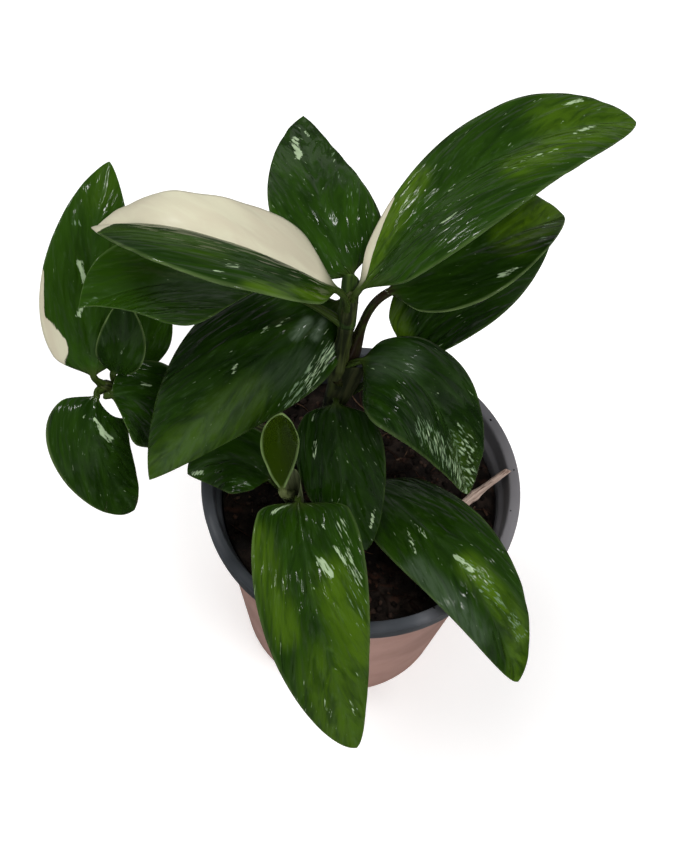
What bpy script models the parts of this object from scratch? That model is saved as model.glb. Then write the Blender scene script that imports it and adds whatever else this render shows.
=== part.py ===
"""Potted philodendron: a young variegated climber in a 12 cm nursery pot.

Frame: origin at the middle of the pot's underside, +Z up, and -Y is the front, where the
longest low leaf hangs over the rim. Lengths in this file are millimetres, and MM turns them
into Blender's metres when a vertex is placed.
"""

import math

import bmesh
import bpy
from mathutils import Vector

MM = 0.001
GAP = 0.3
WELD = 0.00001

POT_HEIGHT = 115.0
RIM_RADIUS = 60.0
LIP_WIDTH = 4.6
LIP_CROWN = 0.8
COLLAR_HEIGHT = 9.0
COLLAR_TAPER = 0.8
SKIRT_THICKNESS = 1.4
POT_WALL = 1.5
BODY_TOP_RADIUS = 54.4
BASE_RADIUS = 41.5
FOOT_WIDTH = 6.0
RECESS_HEIGHT = 2.5
DISC_RADIUS = 21.0
POT_STEPS = 48
DRAIN_HOLES = 6
DRAIN_HOLE_RADIUS = 3.2
DRAIN_RING_RADIUS = 28.5
DRAIN_TURN = math.radians(4)

SOIL_LEVEL = 103.0
SOIL_COLUMNS = 36
SOIL_TOP_ROWS = 9

BLADE_THICKNESS = 0.9
RIB_DEPTH = 1.3
BLADE_ROWS = 13
PETIOLE_ROWS = 5
ACROSS = (1.0, 0.72, 0.35, 0.0, -0.35, -0.72, -1.0)
PETIOLE_FADE = 0.1

STEM_SIDES_RESOLUTION = 2
STEM_POINTS = 5

STEMS = {
    "stem_main": {
        "points": [(-16, 8, 86), (-15, 9, 128), (-14, 10, 160), (-13, 13, 190), (-12, 16, 217)],
        "radii": (4.2, 3.6, 3.1, 2.7, 2.1),
    },
    "stem_left": {
        "points": [(-28, 12, 86), (-31, 11, 116), (-50, 9, 134), (-78, 6, 146), (-96, 2, 161)],
        "radii": (3.2, 2.9, 2.6, 2.4, 2.1),
    },
    "stem_front": {
        "points": [(-18, -11, 88), (-19, -12, 104), (-21, -15, 118), (-25, -18, 134)],
        "radii": (3.0, 2.8, 2.5, 2.0),
    },
}

LEAF_SHAPE = {
    "face": (0, 0, 1),
    "fold": 15,
    "curl": 20,
    "skew": 0,
    "skew_mid": 0,
    "widest": 0.42,
    "point": 0.75,
    "stalk": 1.2,
}

LEAVES = {
    "leaf_top_right": {
        "stem": "stem_main", "height": 212, "base": (-10, 15, 220), "mid": (27, 54, 245),
        "tip": (74, 80, 241), "width": 42, "face": (-0.2, 0.3, 0.93), "face_tip": (-0.1, 0, 1),
        "skew": -0.38, "skew_tip": 0.08, "fold": 17, "widest": 0.45, "point": 0.68,
    },
    "leaf_cream": {
        "stem": "stem_main", "height": 206, "base": (-17, 12, 223), "mid": (-61, 12, 245),
        "tip": (-96, 22, 226), "width": 42, "face": (0, 0.25, 0.97), "fold": 17, "fold_tip": 35,
        "curl": 28, "skew": -0.3, "skew_mid": 0.5, "skew_tip": -0.25, "widest": 0.34, "point": 0.65,
    },
    "leaf_top_back": {
        "stem": "stem_main", "height": 208, "base": (-13, 23, 216), "mid": (-27, 49, 224),
        "tip": (-37, 97, 203), "width": 35, "fold_tip": -5, "curl": 10, "skew_tip": 0.1,
        "widest": 0.33,
    },
    "leaf_centre_left": {
        "stem": "stem_main", "height": 178, "base": (-16, 25, 196), "mid": (-44, 0, 184),
        "tip": (-73, -31, 158), "width": 47, "face": (0.1, -0.3, 0.95), "fold": -5, "fold_tip": 10,
        "curl": 37, "skew_mid": -0.05, "skew_tip": -0.3, "widest": 0.39, "point": 0.86,
    },
    "leaf_left_under": {
        "stem": "stem_main", "height": 199, "base": (-40, 21, 206), "mid": (-72, 17, 208),
        "tip": (-100, 4, 206), "width": 39, "fold": 3, "fold_tip": 35, "curl": -5, "skew": -0.18,
        "skew_mid": 0.55, "skew_tip": -0.48, "widest": 0.52, "point": 1.1,
    },
    "leaf_right_upper": {
        "stem": "stem_main", "height": 170, "leave": (-6, 18, 184), "base": (0, 25, 206),
        "mid": (28, 41, 214), "tip": (57, 65, 206), "width": 39, "fold": -15, "fold_tip": 30,
        "curl": 12, "skew_tip": 0.25, "widest": 0.46, "stalk": 1.5,
    },
    "leaf_right_lower": {
        "stem": "stem_main", "height": 156, "leave": (-4, 14, 164), "base": (9, 22, 176),
        "mid": (27, 48, 184), "tip": (57, 83, 178), "width": 35, "face": (0.1, -0.2, 1),
        "fold": 35, "fold_tip": -20, "curl": -6, "skew": 0.03, "skew_mid": 0.07, "skew_tip": -0.26,
        "widest": 0.38, "point": 0.64,
    },
    "leaf_right_inner": {
        "stem": "stem_main", "height": 172, "base": (-6, 10, 185), "mid": (18, 3, 180),
        "tip": (38, -10, 136), "width": 39, "face": (0.4, -0.2, 0.9), "fold_tip": 28,
        "curl": 30, "skew": -0.4, "skew_tip": 0.15, "point": 0.7,
    },
    "leaf_centre_front": {
        "stem": "stem_main", "height": 152, "base": (-13, 5, 163), "mid": (-8, -12, 148),
        "tip": (4, -32, 125), "width": 32, "face": (0, -0.5, 0.85), "fold": 3, "point": 0.65,
    },
    "leaf_far_left": {
        "stem": "stem_left", "height": 160, "base": (-98, 3, 165), "mid": (-102, 29, 190),
        "tip": (-101, 66, 204), "width": 34, "face": (0, -0.4, 0.9), "fold": 3, "curl": 12,
        "skew_tip": 0.05, "widest": 0.35, "point": 0.75,
    },
    "leaf_left_back_1": {
        "stem": "stem_left", "height": 155, "base": (-91, 4, 167), "mid": (-88, 8, 181),
        "tip": (-89, 18, 193), "width": 17, "face": (0.1, -0.7, 0.7),
    },
    "leaf_left_back_2": {
        "stem": "stem_left", "height": 150, "base": (-85, 13, 155), "mid": (-82, 20, 169),
        "tip": (-81, 32, 180), "width": 18, "face": (0.2, -0.7, 0.7), "widest": 0.5,
    },
    "leaf_left_low": {
        "stem": "stem_left", "height": 159, "leave": (-98, -1, 160), "base": (-96, -4, 162),
        "mid": (-94, -18, 155), "tip": (-81, -27, 124), "width": 30, "face": (0.25, -0.3, 0.9),
        "fold": -18, "fold_tip": 0, "curl": 12, "skew": -0.1, "widest": 0.46, "point": 0.5,
    },
    "leaf_left_inner": {
        "stem": "stem_left", "height": 156, "leave": (-92, -2, 160), "base": (-91, -4, 165),
        "mid": (-77, -2, 157), "tip": (-60, -8, 141), "width": 31, "face": (0, -0.2, 1),
        "fold": 8, "curl": 4, "widest": 0.46, "point": 1.0,
    },
    "leaf_soil_left": {
        "stem": "stem_front", "height": 118, "leave": (-28, -12, 124), "base": (-33, -14, 136),
        "mid": (-48, -10, 140), "tip": (-63, -14, 132), "width": 26, "face": (0, -0.2, 1),
    },
    "leaf_young": {
        "stem": "stem_front", "height": 132, "base": (-28, -22, 144),
        "mid": (-30, -17, 169), "tip": (-30, -18, 192), "width": 15, "face": (0, -0.8, 0.5),
        "fold": 0, "curl": -50, "skew": 0.1, "skew_tip": -0.1, "widest": 0.62, "point": 0.5,
        "stalk": 1.6,
    },
    "leaf_front": {
        "stem": "stem_front", "height": 124, "leave": (-22, -23, 133), "base": (-22, -25, 142),
        "mid": (-11, -61, 134), "tip": (9, -97, 100), "width": 42, "face": (0.1, -0.2, 1),
        "fold": 34, "fold_tip": -2, "curl": 6, "skew": 0.05, "skew_tip": -0.17, "widest": 0.32,
        "point": 0.6,
    },
    "leaf_right_front": {
        "stem": "stem_front", "height": 110, "base": (2, -1, 119),
        "mid": (38, -36, 130), "tip": (65, -64, 97), "width": 37, "face": (0.2, -0.2, 1),
        "fold": -5, "fold_tip": 20, "curl": 25, "skew_tip": 0.15, "widest": 0.35, "point": 0.65,
    },
}

TWIG_POINTS = [(35, -4, 104.8), (44, 4, 109.6), (54.3, 12, 116.3)]
TWIG_RADII = (2.0, 1.6, 1.1)

COLOURS = {
    "leaf_green": ((0.03, 0.09, 0.015), 0.35),
    "stem_green": ((0.12, 0.15, 0.05), 0.5),
    "pot_plastic": ((0.42, 0.24, 0.20), 0.55),
    "soil_dark": ((0.03, 0.02, 0.017), 0.95),
    "twig_wood": ((0.35, 0.23, 0.17), 0.8),
}


def clear_scene():
    for thing in list(bpy.data.objects):
        bpy.data.objects.remove(thing, do_unlink=True)


def new_collection(name):
    collection = bpy.data.collections.new(name)
    bpy.context.scene.collection.children.link(collection)
    return collection


def material(slot):
    found = bpy.data.materials.get(slot)
    if found:
        return found
    colour, roughness = COLOURS[slot]
    made = bpy.data.materials.new(slot)
    made.use_nodes = True
    shader = made.node_tree.nodes["Principled BSDF"]
    shader.inputs["Base Color"].default_value = (*colour, 1.0)
    shader.inputs["Roughness"].default_value = roughness
    shader.inputs["Metallic"].default_value = 0.0
    return made


def add_object(name, mesh, collection, slot=None):
    thing = bpy.data.objects.new(name, mesh)
    collection.objects.link(thing)
    if slot:
        mesh.materials.append(material(slot))
        mesh.shade_smooth()
        mesh.set_sharp_from_angle(angle=math.radians(40))
    return thing


def as_cutter(thing):
    thing.hide_render = True
    thing.display_type = "WIRE"
    return thing


def cut(thing, cutter):
    modifier = thing.modifiers.new("cut_" + cutter.name, "BOOLEAN")
    modifier.operation = "DIFFERENCE"
    modifier.object = cutter


def bezier(points, t):
    """A point of the Bezier curve with these control points, at t from 0 to 1."""
    points = [Vector(p) for p in points]
    while len(points) > 1:
        points = [a.lerp(b, t) for a, b in zip(points, points[1:])]
    return points[0]


def smooth_run(points, values, steps):
    """A Catmull-Rom curve through the points, with the values blended along it."""
    points = [Vector(p) for p in points]
    ends = [2 * points[0] - points[1], *points, 2 * points[-1] - points[-2]]
    run = []
    for k in range(len(points) - 1):
        a, b, c, d = ends[k : k + 4]
        for step in range(steps):
            t = step / steps
            place = 0.5 * (
                2 * b
                + (c - a) * t
                + (2 * a - 5 * b + 4 * c - d) * t**2
                + (3 * b - a - 3 * c + d) * t**3
            )
            run.append((place, values[k] + (values[k + 1] - values[k]) * t))
    run.append((points[-1], values[-1]))
    return run


def tube(name, points, radii, collection, slot=None, grow=0.0, steps=STEM_POINTS):
    """A tapered round stem through the points, as a closed mesh."""
    run = smooth_run(points, radii, steps)
    if grow:
        first, last = run[0], run[-1]
        start = first[0] + (first[0] - run[1][0]).normalized() * grow
        end = last[0] + (last[0] - run[-2][0]).normalized() * grow
        run = [(start, first[1]), *run[1:-1], (end, last[1])]
    curve = bpy.data.curves.new(name + "_line", "CURVE")
    curve.dimensions = "3D"
    curve.bevel_depth = MM
    curve.bevel_resolution = STEM_SIDES_RESOLUTION
    curve.use_fill_caps = True
    spline = curve.splines.new("POLY")
    spline.points.add(len(run) - 1)
    for point, (place, radius) in zip(spline.points, run):
        point.co = (*(place * MM), 1.0)
        point.radius = radius + grow
    line = add_object(name + "_line", curve, collection)
    evaluated = line.evaluated_get(bpy.context.evaluated_depsgraph_get())
    mesh = bpy.data.meshes.new_from_object(evaluated)
    bpy.data.objects.remove(line, do_unlink=True)
    mesh.name = name
    weld(mesh)
    return add_object(name, mesh, collection, slot)


def weld(mesh):
    bm = bmesh.new()
    bm.from_mesh(mesh)
    bmesh.ops.remove_doubles(bm, verts=bm.verts, dist=WELD)
    bmesh.ops.recalc_face_normals(bm, faces=bm.faces)
    bm.to_mesh(mesh)
    bm.free()


def rolled_grid(name, rows, columns, place):
    """A grid rolled into a tube, with place(row, column) giving each vertex in millimetres.

    The first half of the columns is one face of a blade and the second half the other. Each
    half has its own diagonals, so that they lie over each other on the two faces.
    """
    bm = bmesh.new()
    bmesh.ops.create_grid(bm, x_segments=columns, y_segments=rows, size=1)
    first_half = [face for face in bm.faces if face.calc_center_median().x < 0]
    bmesh.ops.triangulate(bm, faces=first_half, quad_method="FIXED")
    quads = [face for face in bm.faces if len(face.verts) == 4]
    bmesh.ops.triangulate(bm, faces=quads, quad_method="ALTERNATE")
    for vertex in bm.verts:
        column = round((vertex.co.x + 1) / 2 * columns) % columns
        row = round((vertex.co.y + 1) / 2 * rows)
        vertex.co = place(row, column) * MM
    bmesh.ops.remove_doubles(bm, verts=bm.verts, dist=WELD)
    open_edges = [edge for edge in bm.edges if edge.is_boundary]
    if open_edges:
        bmesh.ops.holes_fill(bm, edges=open_edges)
    bmesh.ops.triangulate(bm, faces=bm.faces)
    bmesh.ops.recalc_face_normals(bm, faces=bm.faces)
    mesh = bpy.data.meshes.new(name)
    bm.to_mesh(mesh)
    bm.free()
    return mesh


def inner_radius(height):
    """The pot's inside radius at this height, below the collar."""
    top = POT_HEIGHT - COLLAR_HEIGHT
    return BASE_RADIUS + (BODY_TOP_RADIUS - BASE_RADIUS) * height / top - POT_WALL


def turned(name, profile, collection, slot):
    """A turned solid from a closed or axis-to-axis profile of (radius, height) pairs."""
    mesh = bpy.data.meshes.new(name)
    bm = bmesh.new()
    line = [bm.verts.new((radius * MM, 0.0, height * MM)) for radius, height in profile]
    for a, b in zip(line, line[1:]):
        bm.edges.new((a, b))
    bm.to_mesh(mesh)
    bm.free()
    thing = add_object(name, mesh, collection, slot)
    screw = thing.modifiers.new("turn", "SCREW")
    screw.axis = "Z"
    screw.angle = math.tau
    screw.steps = POT_STEPS
    screw.render_steps = POT_STEPS
    screw.use_merge_vertices = True
    screw.merge_threshold = WELD
    screw.use_smooth_shade = True
    return thing


def pot_profile():
    """From the middle of the floor, up the inside, over the lip, down the collar and body."""
    floor = POT_WALL
    raised = RECESS_HEIGHT + POT_WALL
    foot_inner = BASE_RADIUS - FOOT_WIDTH
    collar_bottom = POT_HEIGHT - COLLAR_HEIGHT
    lip_inner = RIM_RADIUS - LIP_WIDTH
    inside = [
        (0, floor),
        (DISC_RADIUS - 1, floor),
        (DISC_RADIUS + 1, raised),
        (foot_inner - 1, raised),
        (foot_inner + 1, floor),
        (inner_radius(floor), floor),
        (inner_radius(collar_bottom - 1), collar_bottom - 1),
        (lip_inner - 0.9, collar_bottom + 1.2),
    ]
    lip = [
        (lip_inner, POT_HEIGHT - 1.2),
        (lip_inner + 0.5, POT_HEIGHT - 0.3),
        (lip_inner + 0.4 * LIP_WIDTH, POT_HEIGHT),
        (lip_inner + 0.7 * LIP_WIDTH, POT_HEIGHT - 0.25 * LIP_CROWN),
        (RIM_RADIUS - 0.3, POT_HEIGHT - LIP_CROWN),
        (RIM_RADIUS, POT_HEIGHT - LIP_CROWN - 0.7),
    ]
    skirt_outer = RIM_RADIUS - COLLAR_TAPER
    collar = [
        (skirt_outer, collar_bottom + 0.4),
        (skirt_outer - 0.4, collar_bottom),
        (skirt_outer - SKIRT_THICKNESS, collar_bottom),
        (RIM_RADIUS - SKIRT_THICKNESS - 0.4, POT_HEIGHT - 3.4),
        (lip_inner + POT_WALL, POT_HEIGHT - 3.4),
        (BODY_TOP_RADIUS + 1.7, collar_bottom + 1),
        (BODY_TOP_RADIUS, collar_bottom - 1),
    ]
    underside = [
        (BASE_RADIUS + 0.15, 1.0),
        (BASE_RADIUS - 0.8, 0),
        (foot_inner + 0.6, 0),
        (foot_inner - 0.6, RECESS_HEIGHT),
        (DISC_RADIUS + 0.6, RECESS_HEIGHT),
        (DISC_RADIUS - 0.6, 0),
        (0, 0),
    ]
    return inside + lip + collar + underside


def make_pot(collection, cutters):
    pot = turned("pot", pot_profile(), collection, "pot_plastic")
    for k in range(DRAIN_HOLES):
        angle = math.tau * k / DRAIN_HOLES + DRAIN_TURN
        bpy.ops.mesh.primitive_cylinder_add(
            vertices=12,
            radius=DRAIN_HOLE_RADIUS * MM,
            depth=4 * RECESS_HEIGHT * MM,
            location=(
                DRAIN_RING_RADIUS * math.cos(angle) * MM,
                DRAIN_RING_RADIUS * math.sin(angle) * MM,
                RECESS_HEIGHT * MM,
            ),
        )
        hole = bpy.context.active_object
        hole.name = f"drain_{k + 1}"
        for holder in list(hole.users_collection):
            holder.objects.unlink(hole)
        cutters.objects.link(as_cutter(hole))
        cut(pot, hole)
    return pot


def soil_height(x, y):
    """Crumbly surface: three crossing waves, sunk a little beside the wall."""
    radius = math.hypot(x, y)
    broad = 1.0 * math.sin(0.11 * x + 0.8) * math.cos(0.1 * y - 0.4)
    lumps = 0.7 * math.sin(0.31 * x - 0.2 * y + 1.1) + 0.5 * math.sin(0.24 * y + 0.37 * x)
    sunk = 1.2 * max(0.0, radius / 52 - 0.8) / 0.2
    return SOIL_LEVEL + broad + lumps - sunk


def make_soil(collection, cutters):
    """The root ball: an uneven top, a side clear of the wall, and a flat underside."""
    underside = RECESS_HEIGHT + POT_WALL + GAP

    def place(row, column):
        angle = math.tau * column / SOIL_COLUMNS
        if row <= SOIL_TOP_ROWS:
            edge = inner_radius(SOIL_LEVEL - 3) - GAP
            radius = edge * row / SOIL_TOP_ROWS
            x, y = radius * math.cos(angle), radius * math.sin(angle)
            return Vector((x, y, soil_height(x, y)))
        radius = 0.0
        if row == SOIL_TOP_ROWS + 1:
            radius = inner_radius(underside) - GAP
        return Vector((radius * math.cos(angle), radius * math.sin(angle), underside))

    mesh = rolled_grid("soil", SOIL_TOP_ROWS + 2, SOIL_COLUMNS, place)
    soil = add_object("soil", mesh, collection, "soil_dark")
    for name in STEMS:
        cut(soil, cutters.objects[name + "_room"])
    return soil


def make_stems(collection, cutters):
    """Each stem, and the same tube grown by the gap, which makes room in what it touches."""
    for name, stem in STEMS.items():
        tube(name, stem["points"], stem["radii"], collection, "stem_green")
        as_cutter(tube(name + "_room", stem["points"], stem["radii"], cutters, grow=GAP))


def half_width(leaf, s):
    """Half the blade's width at s along the midrib, for its place of greatest width."""
    tip_power = leaf["point"]
    base_power = tip_power * leaf["widest"] / (1 - leaf["widest"])
    shape = (s / leaf["widest"]) ** base_power * ((1 - s) / (1 - leaf["widest"])) ** tip_power
    return shape * leaf["width"] / 2


def cross_section(fold, curl, across):
    """Reach and rise of a half blade that leaves the midrib at fold and bends down by curl."""
    steps = 12
    reach = rise = 0.0
    for k in range(steps):
        angle = math.radians(fold - curl * across * (k + 0.5) / steps)
        reach += math.cos(angle) * across / steps
        rise += math.sin(angle) * across / steps
    return reach, rise


def stem_centre(name, height):
    """The middle of the stem at this height."""
    stem = STEMS[name]
    run = [place for place, _ in smooth_run(stem["points"], stem["radii"], STEM_POINTS)]
    for low, high in zip(run, run[1:]):
        if low.z <= height <= high.z:
            return low.lerp(high, (height - low.z) / (high.z - low.z))
    raise ValueError(f"{name} does not reach {height}")


def leaf_frames(leaf):
    """Rows from the stem to the tip: (s, place, side, up), with s below 0 on the stalk."""
    base, mid, tip = (Vector(leaf[key]) for key in ("base", "mid", "tip"))
    middle = 2 * mid - (base + tip) / 2
    face = Vector(leaf["face"]).normalized()
    face_tip = Vector(leaf.get("face_tip", leaf["face"])).normalized()
    blade = []
    for k in range(BLADE_ROWS + 1):
        s = (1 - math.cos(math.pi * k / BLADE_ROWS)) / 2
        along = ((middle - base) * (1 - s) + (tip - middle) * s).normalized()
        side = face.lerp(face_tip, s).cross(along).normalized()
        blade.append((s, bezier((base, middle, tip), s), side, along.cross(side)))
    root = stem_centre(leaf["stem"], leaf["height"])
    start = (middle - base).normalized()
    reach = (base - root).length * 0.3
    lift = ((base - root).normalized() + Vector((0, 0, 0.6))).normalized()
    leave = Vector(leaf["leave"]) if "leave" in leaf else root + lift * reach
    bends = (root, leave, base - start * reach, base)
    stalk = []
    side = blade[0][2]
    for k in range(1, PETIOLE_ROWS + 1):
        t = 1 - k / PETIOLE_ROWS
        along = (bezier(bends, t + 0.01) - bezier(bends, max(t - 0.01, 0))).normalized()
        side = (side - along * side.dot(along)).normalized()
        stalk.append((-1, bezier(bends, t), side, along.cross(side)))
    return stalk[::-1] + blade


def leaf_mesh(name, leaf):
    """One skin from the stalk's foot to the blade's tip, with the rib on the underside."""
    frames = leaf_frames(leaf)
    count = len(ACROSS)
    columns = 2 * count
    fold_tip = leaf.get("fold_tip", leaf["fold"])
    skew_tip = leaf.get("skew_tip", leaf["skew"])

    def place(row, column):
        s, centre, side, up = frames[row]
        angle = math.tau * (column + 0.5) / columns
        stalk = leaf["stalk"] * (side * math.cos(angle) + up * math.sin(angle))
        if s <= 0:
            return centre + stalk
        top = column < count
        across = ACROSS[column] if top else ACROSS[columns - 1 - column]
        sign = math.copysign(1, across) if across else 0
        fold = leaf["fold"] + (fold_tip - leaf["fold"]) * s
        skew = leaf["skew"] + (skew_tip - leaf["skew"]) * s + 4 * leaf["skew_mid"] * s * (1 - s)
        reach, rise = cross_section(fold, leaf["curl"], abs(across))
        width = half_width(leaf, s) * (1 + skew * sign) if s < 1 else 0.0
        skin = centre + side * (sign * reach * width) + up * (rise * width)
        depth = BLADE_THICKNESS / 2
        if not top and across == 0:
            depth += RIB_DEPTH * (1 - s)
        skin += up * (depth if top else -depth)
        fade = max(0.0, 1 - s / PETIOLE_FADE) ** 2
        return skin.lerp(centre + stalk, fade)

    return rolled_grid(name, len(frames) - 1, columns, place)


def make_leaves(collection, cutters):
    for name, own in LEAVES.items():
        leaf = {**LEAF_SHAPE, **own}
        thing = add_object(name, leaf_mesh(name, leaf), collection, "leaf_green")
        cut(thing, cutters.objects[leaf["stem"] + "_room"])


def main():
    clear_scene()
    parts = new_collection("potted_philodendron")
    cutters = new_collection("cutters")
    make_stems(parts, cutters)
    make_pot(parts, cutters)
    make_soil(parts, cutters)
    make_leaves(parts, cutters)
    tube("twig", TWIG_POINTS, TWIG_RADII, parts, "twig_wood", steps=3)


main()
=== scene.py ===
"""Looks of the potted philodendron: fine leaves, stems, pot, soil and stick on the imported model.

Lengths are millimetres, in the model's own frame: origin at the middle of the pot's underside,
+Z up and -Y to the front. MM turns them into metres where a mesh is made.
"""

import math

import bpy
import numpy as np
from mathutils import Matrix


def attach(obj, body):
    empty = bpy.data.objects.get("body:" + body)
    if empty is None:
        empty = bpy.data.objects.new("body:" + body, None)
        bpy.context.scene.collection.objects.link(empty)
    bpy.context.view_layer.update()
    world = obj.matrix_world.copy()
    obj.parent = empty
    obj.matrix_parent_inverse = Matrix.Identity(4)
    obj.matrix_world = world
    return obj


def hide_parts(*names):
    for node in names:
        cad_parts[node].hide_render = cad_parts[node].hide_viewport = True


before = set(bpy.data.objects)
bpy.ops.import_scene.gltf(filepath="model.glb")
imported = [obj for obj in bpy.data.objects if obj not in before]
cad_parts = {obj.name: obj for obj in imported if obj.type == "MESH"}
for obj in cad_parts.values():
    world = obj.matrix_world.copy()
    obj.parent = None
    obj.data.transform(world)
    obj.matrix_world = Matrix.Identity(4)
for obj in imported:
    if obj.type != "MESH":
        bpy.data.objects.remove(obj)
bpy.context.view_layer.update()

MM = 0.001
CM = 0.1
RNG_SEED = 17

POT_HEIGHT = 115.0
RIM_RADIUS = 60.0
LIP_WIDTH = 4.6
LIP_CROWN = 0.8
COLLAR_HEIGHT = 9.0
COLLAR_BOTTOM = POT_HEIGHT - COLLAR_HEIGHT
COLLAR_TAPER = 0.8
SKIRT_THICKNESS = 1.4
POT_WALL = 1.5
BODY_TOP_RADIUS = 54.4
BASE_RADIUS = 41.5
FOOT_WIDTH = 6.0
RECESS_HEIGHT = 2.5
DISC_RADIUS = 21.0
POT_COLUMNS = 168
CORNER_RADIUS = 0.8
LONGEST_STEP = 5
DRAIN_HOLES = 6
DRAIN_HOLE_RADIUS = 3.2
DRAIN_RING_RADIUS = 28.5
DRAIN_TURN = math.radians(4)

SOIL_LEVEL = 103.0
SOIL_RINGS = 84
SOIL_COLUMNS = 240
SOIL_GAP = 0.3
SOIL_LUMPS = ((1.0, 3.4, 1), (0.7, 1.9, 2), (0.35, 1.0, 3))
CRUMB_COUNT = 520
CHIP_COUNT = 260
FIBRE_COUNT = 170
FIBRE_ROWS = 7
FIBRE_COLUMNS = 3
RIM_SPECK_COUNT = 16

BLADE_ROWS = 104
STALK_ROWS = 18
HALF_COLUMNS = 20
COLUMN_POWER = 1.25
BLADE_THICKNESS = 0.8
MARGIN_THINNING = 0.45
GROOVE_DEPTH = 0.45
GROOVE_WIDTH = 1.0
RIB_DEPTH = 1.1
RIB_WIDTH = 1.2
RIB_LINE = 0.8
STALK_RISE = 0.6
STALK_HANDLE = 0.3
STALK_CHANNEL = 0.28
STALK_FADE = 0.1
TIP_SHRINK = 0.15
VEIN_START = 1.4
VEIN_ARCH = 1.1
PLEAT_GAP = 6.5
PLEAT_HEIGHT = 0.07
PUCKER = 0.7
PUCKER_CELL = (11, 7)
MARGIN_WAVE = 0.6
WAVES_ALONG = 7
MARK_FADE = (0.3, 1.7)
SEED_STEP = 3.7

STEM_COLUMNS = 30
STEM_STEPS = 22
STEM_RIDGES = 0.07
STEM_TOP = (0.96, 0.8, 0.45)
NODE_SWELL = 0.16
NODE_LENGTH = 1.6
BARK_STRETCH = (1.5, 1.5, 1.2)
BARK_CELL = 0.7
SHEATH_WALL = 0.5
SHEATH_TURN = 140
SHEATH_ROWS = 48
SHEATH_STEPS = 24

# Each stem: points of its centre line, radii there, and the heights where brown turns green.
STEMS = {
    "stem_main": (
        [(-16, 8, 86), (-15, 9, 128), (-14, 10, 160), (-13, 13, 190), (-12, 16, 217)],
        (4.2, 3.6, 3.1, 2.7, 2.1), (130, 165),
    ),
    "stem_left": (
        [(-28, 12, 86), (-31, 11, 116), (-50, 9, 134), (-78, 6, 146), (-96, 2, 161)],
        (3.2, 2.9, 2.6, 2.4, 2.1), (95, 130),
    ),
    "stem_front": (
        [(-18, -11, 88), (-19, -12, 104), (-21, -15, 118), (-25, -18, 134)],
        (3.0, 2.8, 2.5, 2.0), (95, 112),
    ),
}

# Each sheath: foot place, axis, direction of its back, radius at foot and mouth, height, colours.
SHEATHS = {
    "young_sheath": (
        (-22.5, -20.5, 129), (-0.2, 0.05, 1), (0.5, 0.9, 0), 2.6, 4.2, 21,
        ((0.045, 0.058, 0.022), (0.13, 0.15, 0.07)),
    ),
    "top_sheath": (
        (-12.4, 14.2, 200), (-0.03, 0.3, 1), (0, -1, 0), 2.9, 3.1, 24,
        ((0.012, 0.03, 0.003), (0.04, 0.075, 0.01)),
    ),
    "middle_sheath": (
        (-13.6, 9.5, 156), (0.22, 0.2, 1), (0.4, -1, 0), 4.0, 5.4, 26,
        ((0.008, 0.012, 0.002), (0.04, 0.045, 0.012)),
    ),
}

TWIG_POINTS = [(35, -4, 104.8), (44, 4, 109.6), (54.3, 12, 116.3)]
TWIG_RADII = (2.0, 1.6, 1.1)
TWIG_STEPS = 26
TWIG_COLUMNS = 22
TWIG_RIDGES = 0.16
KNOT_PLACE, KNOT_LENGTH, KNOT_SWELL = 0.45, 0.05, 0.18

DEEP_GREEN = (0.0035, 0.0125, 0.001)
MID_GREEN = (0.017, 0.05, 0.0022)
LIME_GREEN = (0.06, 0.12, 0.004)
# Painted sheen: the grey marks' grey-green stands in for the gloss catching light.
PAINTED_SHEEN_GREEN = (0.075, 0.11, 0.068)
MARBLE_GREEN = (0.13, 0.2, 0.11)
# Colour of the pale flecks, which on the strewn flecks also stands for painted glints.
PALE_FLECK_AND_GLINT = (0.32, 0.42, 0.25)
CREAM = (0.51, 0.49, 0.36)
CREAM_SHADE = (0.47, 0.43, 0.32)
CREAM_UNDER = (0.55, 0.52, 0.36)
OLIVE = (0.018, 0.036, 0.0005)
UNDER_GREEN = (0.04, 0.08, 0.025)
STALK_GREEN = (0.026, 0.044, 0.007)
MARGIN_GREEN = (0.15, 0.22, 0.075)
STEM_GREENS = ((0.01, 0.014, 0.003), (0.045, 0.058, 0.013))
BROWNS = ((0.012, 0.006, 0.003), (0.055, 0.026, 0.012))
SPECK_BROWN = (0.03, 0.024, 0.02)
COLLAR_GREYS = ((0.038, 0.043, 0.05), (0.068, 0.073, 0.082))
# Pale grey for the collar's +X side: partly a dusty film, partly painted light where that side is
# lit.
COLLAR_DUST_AND_LIGHT = (0.2, 0.19, 0.2)
TERRACOTTAS = ((0.33, 0.185, 0.15), (0.41, 0.235, 0.195))
TERRACOTTA_HAZE = (0.52, 0.42, 0.385)
SOIL_BROWNS = ((0.007, 0.005, 0.004), (0.026, 0.018, 0.014), (0.045, 0.02, 0.013))
CRUMB_BROWNS = ((0.007, 0.005, 0.004), (0.022, 0.015, 0.012), (0.06, 0.035, 0.025))
CHIP_BROWNS = ((0.012, 0.007, 0.005), (0.045, 0.022, 0.014), (0.12, 0.075, 0.05))
FIBRE_BROWNS = ((0.012, 0.006, 0.004), (0.045, 0.02, 0.012), (0.13, 0.075, 0.045))
STICK_TANS = ((0.42, 0.3, 0.245), (0.74, 0.57, 0.48))
STICK_MOTTLE = (0.16, 0.09, 0.07)

FLOOR_GREYS = ((0.93, 0.93, 0.925), (0.95, 0.95, 0.945))
FLOOR_HALF = 3000.0
HORIZON = (0.5, 0.5, 0.5)
ZENITH = (0.12, 0.125, 0.13)
BELOW = (0.06, 0.065, 0.06)

CAMERA_PLACE = (-10.7, -273.2, 649.6)
CAMERA_TILT = math.radians(61)
CAMERA_ROLL = math.radians(7)
CAMERA_LENS = 67.85
SENSOR = 36.0

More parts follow.
